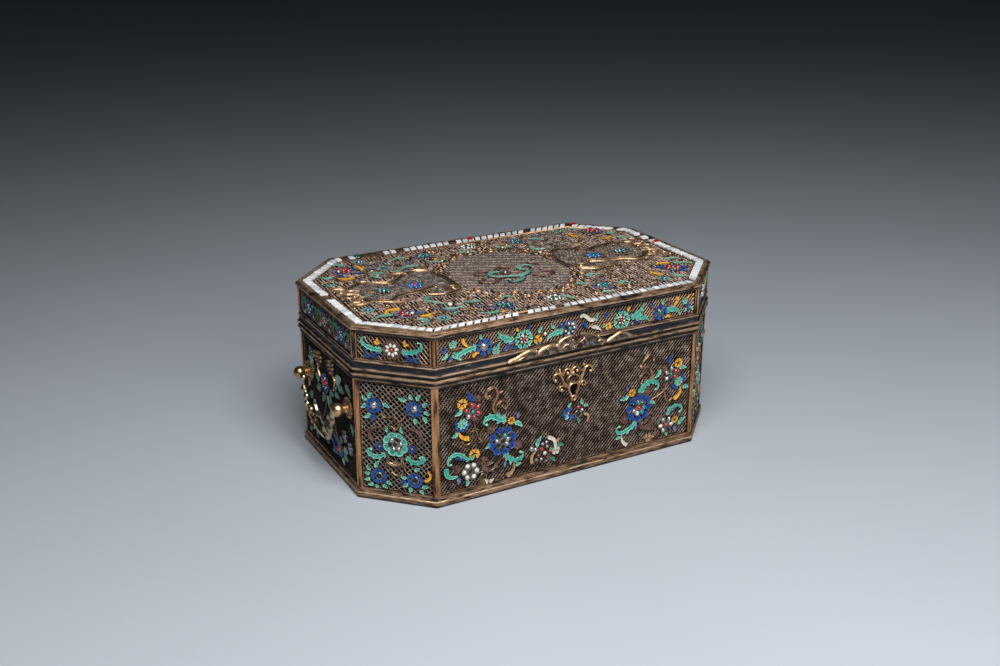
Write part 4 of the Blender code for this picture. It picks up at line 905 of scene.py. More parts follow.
def front_right_spray(b):
    bare_blossom(b, (69.2, 57.2), 2.4)
    b.swirl((80.9, 58.8), 3.3, "yellow", 60)
    clear = (75.5, 51.6)
    b.petals(clear, 1, 5.9, 6, "slim", "silver", 30, 0.5, 1.2, rim="silver")
    b.stones(clear, 4.1, 1.75, ["garnet", "paste", "paste", "paste", "dark", "garnet"], 30, 0.9,
             (1.25, 0.85))
    b.stone(clear, 1.6, "emerald", 1.1)
    blue = (81.4, 45.9)
    b.petals(blue, 1.6, 5.6, 5, "heart", "royal", 20, 0.7, skip=(1, 2, 4))
    b.petals(blue, 0.2, 3.3, 4, "heart", "turquoise", 45, 1)
    b.curl([(83.6, 41.6), (83.6, 38), (81.6, 35.2), (78.6, 33.8)], 0.9, 3, "yellow")
    b.vine([(72.4, 46.5), (69.6, 40.6), (60.6, 36.8)], 0.9, 1.2)
    b.vine([(67.4, 45.4), (69.2, 42.6), (71.4, 39), (72.4, 34.6), (74.6, 33), (77.2, 34.4)],
           1.2, 1.1, bead=0.7)
    b.vine([(66.4, 41.8), (68.6, 41)], 0.8, 0.7)
    b.vine([(50.6, 61), (51.6, 63.4), (54.6, 66.8), (57.6, 68.8), (60.8, 67), (61.2, 64.2)],
           1.3, 1.5, section=GROOVED, bead=1.1)
    b.vine([(51, 62), (53, 60.8), (56.6, 60.8), (59.4, 57.6), (60.2, 54), (59, 50.6)],
           1.5, 1.7, section=GROOVED, height=0.8)
    b.bead((51.6, 61.6), 1.3, "vine", 0.9)
    b.vine([(59.4, 51.4), (58.2, 55), (54.8, 56.8), (51.4, 55.6), (50.2, 52.4), (51.6, 50.4),
            (53, 51.4)], 1.2, 1, section=GROOVED, bead=0.7)
    b.curl([(51.8, 44), (53.2, 47), (57, 49.6), (61.4, 50), (65, 47.6), (65.4, 44.6), (63.6, 43.8)], 5,
           1.5, lobes=3, bead=1.1)
    big_flower(b, (51, 33.4), 86, ["teal", "dark", "paste", "pearl", "teal", "teal", "emerald"],
               "garnet")
    b.swirl((45.2, 45.2), 2.7, "yellow", 0)
    bare_blossom(b, (56.4, 43), 2.8)
    bare_blossom(b, (40.4, 27.4), 3.1)
    b.curl([(51.6, 21.4), (55.2, 18.6), (59.6, 19.2), (62.6, 23), (62, 27.4), (60.2, 27.6)],
           3, 3.2, "bare", lobes=4, rim="vine")
    b.leaf((55.4, 21), (60.8, 25.6), 2.6, "bare", 1)
    b.curl([(48.8, 24), (46.4, 21.6), (42.4, 19.6), (38.2, 18.6), (34.8, 19.8), (34.4, 22.4),
            (36.4, 23.2)], 4.2, 1.5, lobes=3, bead=1.1)
    b.curl([(38.3, 16.4), (39, 12.8), (40.6, 10.6), (43, 9)], 0.9, 3.2, "ivory")
    b.vine([(50, 21.8), (55.6, 17.6), (66.2, 14.9)], 0.9, 1.1)
    b.vine([(64.9, 15.1), (65.2, 12), (63.4, 9.8), (60.4, 9.8)], 0.9, 0.9)
    b.petals((59.2, 10.6), 0.3, 3, 3, "heart", "tan", 150, 0.7, rim="vine")
    b.petals((60.2, 7.9), 0.3, 2.6, 3, "heart", "vine", 200, 0.7, rim="vine")
    white = (73.3, 16.4)
    b.petals(white, 1.4, 6.2, 6, "slim", "silver", 60, 0.5, 1.3, rim="silver")
    b.stones(white, 4.3, 1.7, ["paste", "paste", "pearl", "paste", "dark", "pearl"], 60, 0.9,
             (1.25, 0.85))
    b.stone(white, 1.6, "garnet", 1.1)
    b.swirl((80.4, 18.8), 2.6, "yellow", 0)
    b.curl([(73.6, 23.6), (76.4, 26.8), (80.4, 28.8), (84.4, 27.8), (85.6, 25), (83.8, 23.6)],
           3, 1.4, lobes=2, bead=0.9)
    leaves(b, "navy", (72.6, 60, 76.4, 66.2, 3), (74, 23.4, 80, 26.6, 2.2))
    leaves(b, "turquoise", (81.6, 55, 87.6, 54.2, 3.2), (67.2, 56.8, 61.9, 51.6, 3.3),
           (85, 40.6, 90, 40.4, 3.3), (56, 48, 56.6, 51.8, 2.4), (43.2, 43.6, 35.6, 42.2, 3.5),
           (59, 35.8, 63.8, 33.8, 2.9), (43.4, 19.6, 41.8, 16.6, 2.4), (34, 15, 38.2, 15.6, 2.7),
           (73.5, 10.8, 74.3, 8.3, 2.7), (74.4, 26.2, 76.6, 29.6, 1.9), (83, 14.2, 89.4, 19, 3.2))
    leaves(b, "slate", (42.1, 47, 41, 50.8, 2.4), (49, 22.6, 48.8, 18, 2.2), (80, 14.3, 80.7, 9.3, 2.9))
    leaves(b, "silver", (66.8, 18.2, 70.4, 23.4, 2.4))


def front_loose_spray(b):
    b.curl([(-11.4, 18), (-11.4, 22.6), (-12.6, 26), (-16.6, 28.6)], 1.4, 3, "ivory")
    b.petals((-11, 18.4), 0.4, 3.2, 5, "round", "ivory", 20, 0.7)
    b.bead((-13.6, 19.6), 1, "turquoise")
    b.curl([(-24.6, 21.3), (-27.6, 18.8), (-28.4, 15.4), (-27.6, 12.8)], 1.2, 2.4, "tan")
    b.stone((-28.3, 23), 1.9, "paste", 0.8)
    b.stone((-25.4, 22), 1.5, "paste", 0.8)
    b.stone((-19, 18.2), 1.5, "pearl", 1)
    for spot, radius in (((-21.3, 21.5), 1.3), ((-14.8, 18.5), 1), ((-23.3, 17.3), 1.1),
                         ((-16.9, 14.7), 0.9)):
        b.stone(spot, radius, "garnet", 0.8)
    for spot in ((-20.4, 24.6), (-17.2, 22.4), (-24.8, 14.8), (-21.2, 14.4), (-17.6, 25.2)):
        b.stone(spot, 1.2, "paste", 0.6)
    b.vine([(-23, 12.6), (-19.6, 12.2), (-16, 12.8)], 0.8, 0.8, "silver")
    b.petals((-2.2, 41.2), 1, 4.4, 5, "heart", "royal", 90, 0.7, skip=(4,))
    b.bead((-2.2, 41.2), 1, "silver", 1)
    b.stone((4.9, 39.4), 2.5, "dark", 0.9)
    b.stone((5, 44), 1.3, "garnet", 0.8)
    b.stone((2, 37), 1.4, "navy", 0.8)
    b.stone((7.8, 41.6), 1.3, "paste", 0.8)
    b.curl([(9.2, 38.8), (12, 37.6), (12.6, 34.8), (11.4, 33)], 2, 1, "tan")
    leaves(b, "turquoise", (-24.6, 23.2, -21.2, 30.9, 3.4), (-2.2, 45.2, -0.2, 48.6, 2.4),
           (-2.7, 40.6, -4.8, 37.4, 2.7), (8.2, 45.4, 7, 50, 2.5), (8.9, 44.4, 12.2, 44, 2.6))
    leaves(b, "tan", (-10.6, 23.6, -7, 26.4, 2.8))
    leaves(b, "green", (-10.2, 21.6, -5.2, 20.6, 2.9), (-14.8, 14.2, -11.5, 10.6, 3),
           (5, 36.6, 5.4, 32.8, 2.6))


def front_body(b):
    front_left_spray(b)
    front_right_spray(b)
    front_loose_spray(b)


def blue_flower(b, centre, turn, middle="paste"):
    b.petals(centre, 1.8, 5, 6, "heart", "royal", turn, 0.75, 0.98)
    b.stone(centre, 2.3, middle, 0.95, dome=0.6)


def canted_front(b):
    blue_flower(b, (-13.4, 61.9), 20)
    leaves(b, "turquoise", (-17.4, 64.6, -20.6, 68, 3), (-16.6, 66, -14.4, 70.4, 3),
           (-18.4, 62.6, -21.6, 59.6, 3), (-8, 63.6, -3.2, 61.4, 3), (-15.6, 56.4, -20.2, 53.4, 3))
    b.petals((-14, 54.4), 0.4, 2.1, 4, "round", "royal", 0, 0.7)
    blue_flower(b, (11.8, 62.6), 5)
    leaves(b, "turquoise", (7.4, 67.6, 1.8, 68.8, 3), (10.4, 68.2, 9.8, 72.2, 3),
           (13.4, 68, 16.6, 72.4, 3), (17.2, 64.4, 20.2, 67.6, 3), (17.6, 61.6, 21.2, 59.6, 3),
           (17.4, 58.6, 19.2, 54.2, 3), (12, 56.8, 12, 52.8, 3))
    b.vine([(-9.4, 57.4), (-6.9, 54.8), (-3.4, 55.4), (0, 55.4), (2.6, 52.8), (6.6, 58.3)], 0.9, 0.9)
    b.vine([(2.6, 53.1), (1.6, 50), (-1.2, 46.8)], 1.3, 1.6)
    b.vine([(-3, 50), (-1, 48.2)], 1, 0.7, bead=0.6)
    b.curl([(-14.6, 38.8), (-16.9, 41.6), (-16.2, 45.6), (-12.6, 48.2), (-8.6, 47.8), (-7.4, 45.8)],
           3.4, 1, "bare", lobes=3, rim="bare")
    b.curl([(13.6, 39.6), (15.8, 42.8), (15, 47), (11.4, 49.2), (7.4, 48.2), (6, 46)],
           3.4, 1, "bare", lobes=3, rim="bare")
    b.leaf((-5.8, 45.2), (-5, 49.8), 2.2)
    b.leaf((3.9, 45.8), (3.5, 50.8), 2.2)
    centre = (-0.6, 38.2)
    b.petals(centre, 4, 8.2, 8, "round", "turquoise", 22, 0.7, 1.05, 0.35)
    b.petals(centre, 1, 4.8, 6, "round", "silver", 0, 0.6, rim="silver")
    b.stones(centre, 3.3, 1.65, ["paste", "dark", "paste", "dark", "paste", "paste"], 10, 1)
    b.stone(centre, 1.7, "dark", 1.15)
    for spot in ((-10.9, 35.4), (9.8, 36.4)):
        b.petals(spot, 0.5, 2.7, 4, "heart", "navy", 30, 0.7)
        b.bead(spot, 0.7, "bright", 0.9)
    b.curl([(-7.4, 30.9), (-11.6, 28.7), (-15.4, 28.9), (-18.2, 31), (-17.9, 33.3), (-16.2, 33)], 4,
           1.4, lobes=3, bead=1)
    b.curl([(6.6, 30.7), (10.2, 27.7), (14.4, 28.3), (17.1, 30.5), (16.2, 32.5), (14.5, 31.3)],
           4, 1.4, lobes=3, bead=1)
    b.vine([(-5.2, 29.8), (-6.9, 26.6), (-4.8, 24.3), (-1.1, 23.3), (2.3, 25.2), (2.9, 29.8)], 0.9, 0.9)
    b.vine([(-5, 25.6), (-1, 24.4), (3, 25.8)], 1.2, 1.2, "bright")
    b.petals((-0.9, 25.6), 0.3, 2, 5, "slim", "tan", 90, 0.8)
    b.vine([(-3.9, 19.5), (-1.9, 17.9), (0.6, 17.5), (4.3, 19.5)], 1.3, 1.3)
    b.vine([(3.2, 30), (4.4, 24), (5.4, 21), (7.7, 19)], 0.9, 0.8)
    b.vine([(-4.8, 29.6), (-6.5, 26.5), (-8.4, 21)], 0.9, 0.8)
    blue_flower(b, (-11.9, 15.7), 10, "dark")
    leaves(b, "turquoise", (-14.2, 20.8, -10.8, 26.2, 2.9), (-17.4, 18.6, -19, 22.6, 2.9),
           (-17.4, 16.6, -21.2, 17.2, 2.9), (-17.6, 13.6, -21.4, 12.2, 2.9),
           (-15.6, 10.4, -19.2, 9, 2.9), (-13, 9.6, -14, 7.6, 2.9), (-10, 9.8, -6.2, 8, 2.9),
           (-7.4, 12.6, -3.4, 10.6, 2.9))
    blue_flower(b, (11.2, 16), 15, "dark")
    leaves(b, "turquoise", (11, 21.8, 14.8, 24.4, 2.9), (6, 16.6, 2, 18, 2.9),
           (6.4, 13.6, 3.2, 10.6, 2.9), (8, 11, 7.8, 7.2, 2.9), (15.4, 11.6, 20, 12.6, 2.9),
           (14.2, 10, 16.4, 7.2, 2.9))
    b.petals((4, 13.6), 0.4, 2, 4, "round", "royal", 0, 0.7)
    b.curl([(19.4, 23), (21, 20.6), (20, 17.8), (17.2, 16.4)], 1, 2.2, "yellow")


def canted_lid(b):
    middle = -0.9
    rosette = (middle, 98.2)
    b.petals(rosette, 2.6, 6.3, 10, "round", "bare", 0, 0.5, rim="bare")
    b.stones(rosette, 3, 1.3, ["pearl"] * 8, 12, 0.9, (1.3, 0.85))
    b.stone(rosette, 1.2, "garnet", 1.1)
    for hand in (-1, 1):
        b.curl(beside(middle, hand, (6.5, 97.8), (10.1, 97.6), (14.9, 98.8), (18.1, 101.2),
                      (17.9, 104), (16.1, 104.2)), 4, 0.9, lobes=4, bead=0.7)
        b.leaf(*beside(middle, hand, (7.3, 101.4), (10.9, 102.8)), 2.8, "yellow")
        b.leaf(*beside(middle, hand, (8.1, 102.2), (8.5, 105.4)), 2.4, "yellow")
        b.curl(beside(middle, hand, (7.3, 95.6), (9.5, 95.2), (11.1, 93.4), (11.7, 91.9)),
               1.2, 0.9, "royal", bead=0.5)
        b.curl(beside(middle, hand, (10.3, 94.6), (12.5, 93.6), (15.1, 94.6), (16.5, 96.8)),
               1.3, 0.8, "royal", bead=0.6)
        b.curl(beside(middle, hand, (12.7, 94), (14.7, 92.4), (16.9, 92.8)), 1.1, 0.7, "royal",
               bead=0.6)
        b.leaf(*beside(middle, hand, (9.7, 93.6), (7.5, 91.9)), 1.3, "royal")


def cone_flower(b, tip, top, stem):
    """A brown beaded blossom seen from the side, on a gilt stem."""
    tip, top = np.array(tip, float), np.array(top, float)
    run = top - tip
    side = np.array((-run[1], run[0]))
    for row, (share, reach) in enumerate(((0.12, 0.22), (0.4, 0.42), (0.68, 0.55), (0.94, 0.5))):
        for i in range(row + 2):
            spread = (2 * i / (row + 1) - 1) * reach
            b.bead(tip + share * run + spread * side, 1.15, "vine" if (i + row) % 3 else "bare",
                   0.7, 0.9)
    b.leaf(tip, top, 1.1 * np.linalg.norm(run), "bare", 0.5)
    b.vine(stem, 1.3, 1.1, "bright", 0.9, 0.6)


def end_body(b, mirror=1):
    def at(*points):
        return beside(0, mirror, *points)

    cone_flower(b, *at((-15.2, 63), (-17, 72.6)), at((-15.6, 63.4), (-17.4, 60.4), (-14.4, 56.6)))
    cone_flower(b, *at((6.8, 65.6), (4, 74.2)), at((6.8, 66), (11.6, 62.6), (9.8, 56)))
    cone_flower(b, *at((-37.4, 48.8), (-39.6, 57.6)), at((-37.4, 49), (-34.8, 46), (-35.6, 42)))
    centre, *emeralds = at((-5.6, 55.2), (-27.6, 68.4), (13, 58.8))
    b.petals(centre, 2.6, 6.8, 7, "tipped", "royal", 90, 0.75, 1)
    b.stones(centre, 3, 1.3, ["paste", "garnet", "paste", "dark", "garnet"], 90, 0.95)
    b.stone(centre, 1.6, "garnet", 1.1)
    for kind, rows in (
            ("green", ((-24, 66, -31, 72, 6), (-24, 60.6, -29.8, 56, 5), (-15, 53.6, -22, 57.2, 6),
                       (-14.4, 50.6, -21, 46.4, 6), (16.4, 60.6, 26.6, 60.4, 6),
                       (29, 67, 38, 61.6, 5.4), (1.6, 50.6, 9.8, 52.6, 5),
                       (0, 48.6, 6.4, 43.6, 5.6), (-8, 48, -11.4, 40.6, 5.4),
                       (10.6, 54, 18.6, 53.6, 4.6), (36, 44, 39.4, 37, 5),
                       (-30, 40, -36.4, 34.6, 5.6), (-34.6, 14, -39.4, 9.6, 4.6),
                       (-27, 13.6, -23.4, 9.6, 4.4))),
            ("bud", ((-25, 62.6, -33.4, 64.6, 6.4), (14, 61.6, 24, 69.4, 7.4),
                     (-3, 48, 0.2, 40.8, 5), (-26, 36, -30, 29.6, 5)))):
        leaves(b, kind, *((mirror * u, z, mirror * v, w, width) for u, z, v, w, width in rows))
    for spot, radius in zip(emeralds, (2, 1.7)):
        b.stone(spot, radius, "emerald", 1)
    for spot, turn in zip(at((15.4, 18.6), (-24, 22)), (20, 50)):
        b.petals(spot, 1.6, 5.6, 6, "heart", "royal", turn, 0.7, 0.9)
        b.stone(spot, 2, "garnet", 1)
        for degrees, width, kind in ((15, 5.6, "bud"), (75, 5, "green"), (135, 4.6, "navy"),
                                     (300, 5, "bud"), (340, 5.4, "green"), (215, 4.6, "green")):
            c, s = math.cos(math.radians(degrees)), math.sin(math.radians(degrees))
            b.leaf((spot[0] + mirror * 6.4 * c, spot[1] + 5.6 * s),
                   (spot[0] + mirror * 13.6 * c, spot[1] + 10 * s), width, kind, 0.75)
    for spot in at((24.6, 31), (33, 26), (-36, 24)):
        b.petals(spot, 0.8, 4.4, 6, "slim", "silver", 20, 0.7, 1.2, rim="silver")
        b.stone(spot, 1.4, "slate", 0.9)
    b.vine(at((-5, 44), (-9, 34), (-16, 27), (-20.6, 24)), 1.3, 1, "bare")
    b.vine(at((1, 44), (5, 34), (9.6, 26), (12.4, 22.4)), 1.3, 1, "bare")
    b.curl(at((-5, 14), (-9.4, 18), (-8, 24), (-3, 23.6)), 3.4, 1.4, "green", lobes=2, bead=0.9)
    b.curl(at((3, 12), (6.4, 15), (4.6, 19.6), (0.8, 19)), 2.8, 1.4, "navy", bead=0.8)


def end_lid(b):
    for u in (-27, 0, 27):
        spot = (u, 98.4)
        b.petals(spot, 1.8, 5.6, 6, "heart", "navy" if u else "bare", 15, 0.7)
        b.stones(spot, 2.5, 1, ["paste"] * 5, 0, 0.9)
        b.stone(spot, 1.3, "teal" if u else "garnet", 1.05)
        for hand in (-1, 1):
            b.curl(beside(u, hand, (5.4, 99.6), (8.6, 102.4), (12, 101.6), (11.6, 98.8)), 2.6, 1.2,
                   "green", lobes=2, bead=0.8)
            b.leaf(*beside(u, hand, (5.6, 95.4), (10.4, 93)), 2.8, "bud")
            b.vine(beside(u, hand, (4, 93.4), (8, 97.6), (12.6, 96.4)), 1.3, 1, "bare", bead=0.9)
            b.leaf(*beside(u, hand, (3.6, 103), (6.4, 105)), 2, "navy")
    for u in (-39, 39):
        b.petals((u, 95.6), 0.5, 2.6, 5, "round", "slate", 0, 0.7)


def back_body(b):
    centre = (0, 40)
    b.petals(centre, 4.7, 9.6, 7, "tipped", "navy", 90, 0.75)
    b.stones(centre, 3.6, 1.5, ["paste"] * 7, 90, 0.9)
    b.stone(centre, 1.9, "garnet", 1)
    for hand in (-1, 1):
        for u, z, kind, stone in ((38, 50, "royal", "teal"), (66, 31, "turquoise", "pearl"),
                                  (72, 62, "royal", "garnet")):
            spot = (hand * u, z)
            b.petals(spot, 2, 6, 6, "heart", kind, 20, 0.7)
            b.stone(spot, 2.2, stone, 0.95)
            for degrees in (40, 130, 230, 310):
                c, s = math.cos(math.radians(degrees)), math.sin(math.radians(degrees))
                b.leaf((spot[0] + 6.4 * c, z + 6.4 * s), (spot[0] + 12 * c, z + 12 * s), 3.4)
        b.curl(beside(0, hand, (11, 38), (17, 32), (24, 34), (25, 40), (21, 41)), 3.6, 1.6,
               lobes=3, bead=1)
        for points in (((10, 45), (22, 52), (32, 50)), ((42, 46), (50, 36), (60, 32)),
                       ((43, 53), (54, 62), (66, 62))):
            b.vine(beside(0, hand, *points), 1.3, 1.1)
        b.curl(beside(0, hand, (30, 20), (36, 15), (43, 17), (43, 22), (39, 22.6)), 3.2, 1.5,
               "tan", lobes=2, bead=1)


def canted_back(b):
    centre = (0, 40)
    b.petals(centre, 3.4, 8, 8, "round", "turquoise", 0, 0.7)
    b.stones(centre, 2.9, 1.4, ["paste"] * 6, 0, 0.9)
    b.stone(centre, 1.6, "garnet", 1)
    for hand in (-1, 1):
        for z, lean in ((62, 1), (17, -1)):
            blue_flower(b, (hand * 12, z), 10)
            b.leaf(*beside(0, hand, (17, z + 3.4), (20, z + 7)), 2.8)
            b.leaf(*beside(0, hand, (9, z + lean * 5.6), (5, z + lean * 9.4)), 2.8)
            b.vine(beside(0, hand, (9, z - lean * 5), (4, z - lean * 9), (1, z - lean * 14)), 1, 1)
        b.curl(beside(0, hand, (9, 36), (13, 32), (18, 34), (17, 38)), 3, 1.4, lobes=2, bead=0.9)


def canted_back_lid(b):
    b.petals((0, 98.4), 2, 6, 7, "round", "royal", 0, 0.6)
    b.stone((0, 98.4), 2.3, "garnet", 0.9)
    for hand in (-1, 1):
        b.curl(beside(0, hand, (7, 98), (12, 96), (17.5, 98.6), (17, 102.6)), 3.4, 1.4, lobes=3,
               bead=0.9)
        b.leaf(*beside(0, hand, (8, 101.6), (12.6, 104.4)), 2.4, "yellow")


def lid_front(b):
    b.vine([(-84.9, 103.6), (-83.6, 100.4), (-81.3, 98.8), (-75.6, 98.8), (-70, 97.4)], 0.8, 0.7)
    b.petals((-81.3, 102.2), 0.3, 2.7, 5, "drop", "turquoise", 90, 0.8)
    b.petals((-80, 95.4), 0.3, 2.3, 4, "drop", "turquoise", 20, 0.8)
    b.petals((-87, 99.6), 0.2, 1.7, 3, "round", "navy", 30, 0.8)
    b.curl([(-74.6, 104.4), (-74.2, 101.6), (-71, 98.4)], 2.6, 1.1, "yellow")
    b.curl([(-66.3, 97.7), (-71.6, 97), (-76.6, 95.2), (-78.4, 92.8), (-76.4, 91.9)], 4.4, 1.3,
           lobes=3, bead=0.9)
    b.petals((-68.8, 101.6), 0.8, 2.2, 6, "round", "bare", 0, 0.7)
    blue = (-61, 96.8)
    b.petals(blue, 2.4, 5.3, 6, "heart", "royal", 20, 0.75)
    b.stone(blue, 2.5, "paste", 0.95, dome=0.5)
    b.curl([(-68.6, 92), (-66.6, 93.8), (-64.4, 94.2)], 2.4, 1, "yellow")
    b.petals((-53.2, 93.4), 0.3, 2.8, 4, "drop", "turquoise", 45, 0.8)
    b.vine([(-55.4, 98), (-51, 99), (-46.6, 98.4)], 0.9, 0.8)
    b.curl([(-42, 97.4), (-46.6, 99.2), (-50.6, 101.8), (-51.6, 104.6)], 4.6, 1.5, lobes=3)
    b.curl([(-41.6, 96.6), (-44, 95.6), (-45.6, 93.4), (-47.9, 92.2)], 1.2, 2.2, "royal", bead=0.6)
    b.curl([(-42.4, 93), (-40.6, 92.2), (-38.4, 92.6)], 1, 1.8, "royal")
    ring_flower(b, (-34.4, 96.6), "turquoise", "garnet", 6)
    b.petals((-24.9, 94.9), 0.3, 3, 3, "drop", "yellow", 100, 0.8)
    b.stone((-19.9, 97.4), 1.3, "pearl", 0.8)
    b.curl([(-7.7, 97), (-12, 96.8), (-16.6, 95.4), (-18.6, 92.7)], 4.2, 1.3, lobes=3)
    for tip in ((-10.4, 102.6), (-5.4, 103.8)):
        b.leaf((-7.7, 98.2), tip, 2.1, "navy")
    centre = (-2.7, 97.7)
    b.petals(centre, 2.6, 5.4, 8, "round", "slate", 0, 0.6)
    b.stones(centre, 3.2, 1.25, ["paste", "pearl", "paste", "dark", "paste", "pearl", "paste"], 0, 0.95)
    b.stone(centre, 1.7, "teal", 1.1)
    b.curl([(4.6, 103.4), (6.8, 104.4), (9.4, 102.8), (11.8, 100.6), (15, 100.2)], 2, 2.6,
           "ivory", bead=0.9)
    b.vine([(10.7, 95.2), (13, 97), (16.4, 98.2)], 0.8, 0.8)
    b.petals((25.2, 94.3), 0.3, 2.7, 4, "drop", "yellow", 60, 0.8)
    ring_flower(b, (35, 96.2), "turquoise", "garnet", 6)
    b.curl([(42.4, 96.8), (46.4, 98.2), (50, 101.2), (51.6, 104.6)], 4.2, 1.4, lobes=3)
    b.curl([(46, 95.8), (50, 95.8), (54, 94.2), (55.9, 92.2)], 4, 1.2, lobes=3)
    b.petals((56.8, 102.8), 0.2, 1.7, 3, "round", "navy", 10, 0.8)
    blue = (64.4, 96.2)
    b.petals(blue, 2.2, 5, 6, "heart", "royal", 8, 0.75)
    b.stone(blue, 2.3, "emerald", 0.95, dome=0.6)
    b.curl([(77.3, 104.4), (76.8, 101.4), (74, 98.2)], 2.6, 1.1, "yellow")
    b.petals((71.4, 100.8), 0.8, 2.2, 6, "round", "bare", 0, 0.7)
    b.curl([(69.2, 96.8), (73.4, 97.2), (77.6, 95.2), (79.6, 92.3)], 4.2, 1.2, lobes=3, bead=0.8)
    b.curl([(68, 92), (70.2, 93.2), (71.8, 92.2)], 1.2, 2, "yellow")
    b.petals((82.9, 100.6), 0.3, 2.4, 5, "drop", "turquoise", 90, 0.8)
    b.petals((85.2, 97.4), 0.2, 1.8, 3, "round", "royal", 60, 0.8)
    leaves(b, "turquoise", (-84.4, 97.4, -88.8, 94, 2.6), (-62.4, 101.8, -63.6, 105.4, 2.2),
           (-52, 95, -49.8, 98.4, 1.9), (-24.2, 98.6, -21.6, 102.8, 2.6),
           (-13.4, 99.6, -15.8, 103.6, 2.4), (16.2, 98.6, 17.8, 104.4, 2.3),
           (22.6, 96.4, 20.8, 93.6, 2.2), (65.6, 101.2, 66.8, 105.4, 2.1), (84.4, 96, 82.4, 93.2, 2.2),
           (87, 96.2, 90, 93.4, 2.3))
    leaves(b, "navy", (-82.6, 95, -84.6, 92, 2), (-31.6, 101.6, -29.6, 105, 2.2),
           (-26.8, 92.4, -22.8, 91.8, 1.9), (6.2, 99.6, 9.6, 95.6, 2.6), (22.8, 99.4, 25.8, 104, 2.3),
           (32.4, 101.8, 33.4, 105.2, 1.9), (44.6, 94, 49.6, 92, 2.2), (85.2, 94.4, 86, 91.8, 1.9))
    leaves(b, "bare", (-43.4, 100.6, -42.2, 104.6, 2.2), (43, 100.6, 44.6, 104.8, 2.2))
    leaves(b, "yellow", (-38, 102.2, -39.4, 105.2, 2), (39.4, 101.2, 41.2, 104.4, 2.2),
           (84.8, 101.6, 87.2, 104.8, 2))
    leaves(b, "ivory", (12.6, 96, 20, 92.4, 3))
    leaves(b, "royal", (26, 92.6, 22.6, 91.7, 1.7), (42, 93.4, 42.6, 91.8, 1.7))


def ring_flower(b, centre, kind, middle, stones):
    """A flower whose petals stand round a ring of stones and a stone in the middle."""
    b.petals(centre, 3, 6.2, 8, "heart", kind, 10, 0.7, 1, 0.3)
    b.wire(spiral(centre, 3, 3, 0, 360, 12)[:-1], 0.22, "rim", 0.9, 4, True)
    b.stones(centre, 2.1, 0.85, ["paste", "pearl"] * (stones // 2), 45, 0.9, sides=6)
    b.stone(centre, 1.2, middle, 1.1)


def lid_back(b):
    for u, kind, middle in ((0, "turquoise", "garnet"), (-34, "royal", "teal"),
                            (34, "royal", "teal"), (-66, "turquoise", "garnet"),
                            (66, "turquoise", "garnet")):
        ring_flower(b, (u, 98.4), kind, middle, 4)
    for hand in (-1, 1):
        for u in (17, 50, 81):
            b.curl(beside(0, hand, (u - 7, 98), (u - 2, 101.6), (u + 4, 101.4), (u + 5, 97.6)),
                   3.2, 1.4, lobes=3, bead=0.9)
            b.leaf(*beside(0, hand, (u - 5, 95.6), (u + 1, 93.6)), 2.7)


# What stands on each side of the body and of the lid
DRESSINGS = {
    "front": (front_body, lid_front),
    "front_left": (canted_front, canted_lid),
    "front_right": (canted_front, canted_lid),
    "left": (end_body, end_lid),
    "right": (lambda b: end_body(b, -1), end_lid),
    "back": (back_body, lid_back),
    "back_left": (canted_back, canted_back_lid),
    "back_right": (canted_back, canted_back_lid),
}


def build_panels():
    for side, both in DRESSINGS.items():
        for part, dress in zip(("body", "lid"), both):
            b = panel(side, part)
            dress(b)
            b.work.make()


# Top of the lid

# The cartouches, left (-1) and right (1): the line of the frame, and the ribbon that closes it
CARTOUCHES = {
    -1: [(-103.7, 17.3), (-98.5, 20.6), (-93.4, 22.4), (-88.3, 18.6), (-81.3, 14.7),
         (-76, 14.9), (-71.7, 17.3), (-64, 24.8), (-56.3, 28.2), (-50.6, 26.6),
         (-46.1, 22.4), (-43.2, 12), (-42.8, 0), (-43.4, -12), (-46, -19),
         (-52.5, -22.1), (-60, -21.6), (-66.6, -18.6)],
    1: [(104, 16), (96, 20), (88, 19), (79, 18), (73, 15), (66.5, 17.6),
        (62, 22.6), (55, 26), (47, 22.6), (42, 16), (40, 4), (40.2, -8),
        (43.5, -16), (49, -21), (55, -23), (66.5, -22), (74, -18)],
}
RIBBONS = {
    -1: [(-103.4, -7), (-100, -13.4), (-92.2, -17.3), (-88, -15.4), (-84.6, -12),
         (-77, -9.8), (-70.4, -9.6), (-63, -8), (-56.3, -5.8)],
    1: [(103.4, -7), (100, -13), (93, -17), (86, -16), (80, -12.6),
        (73, -11), (65, -9.6), (58, -7.4)],
}
# The greyer parts of the ground: (wire radius, outline)
GREY_PATCHES = (
    (0.5, [(36, 66), (60, 66), (84, 62), (70, 46), (76, 30), (60, 27), (46, 24), (40, 34), (30, 48)]),
    (0.46, [(-112, 30), (-86, 26), (-66, 26), (-46, 30), (-38, 40), (-60, 60), (-76, 66),
            (-104, 60)]),
)
# Stretches of the border that lost stones: (start, end, chance of a loss)
LOST_STONES = {
    "back": ((-94, -40, 0.62), (-12, 6, 0.4), (40, 60, 0.3)),
    "left": ((3, 12, 1),),
    "front": ((-16, 2, 0.7), (58, 72, 0.6)),
    "right": ((14, 30, 0.4),),
}


def top_flower(b, centre, outer, petal, stones, middle, turn=0, size=1.3):
    """Small separate drops round a ring of stones, on a plate of fine wire."""
    b.put_at(turned([(0, -0.5), (0.7 * outer, -0.5), (0.66 * outer, -0.1), (0, 0.05)], 12),
             "silver", centre, 0.55)
    b.petals(centre, 0.64 * outer, outer, 8, "drop", petal, turn + 12, 0.55, 1.1, 0.1)
    b.stones(centre, 0.44 * outer, size, stones, turn, 0.85, (1.25, 0.85))
    b.stone(centre, 1.05 * size, middle, 1)


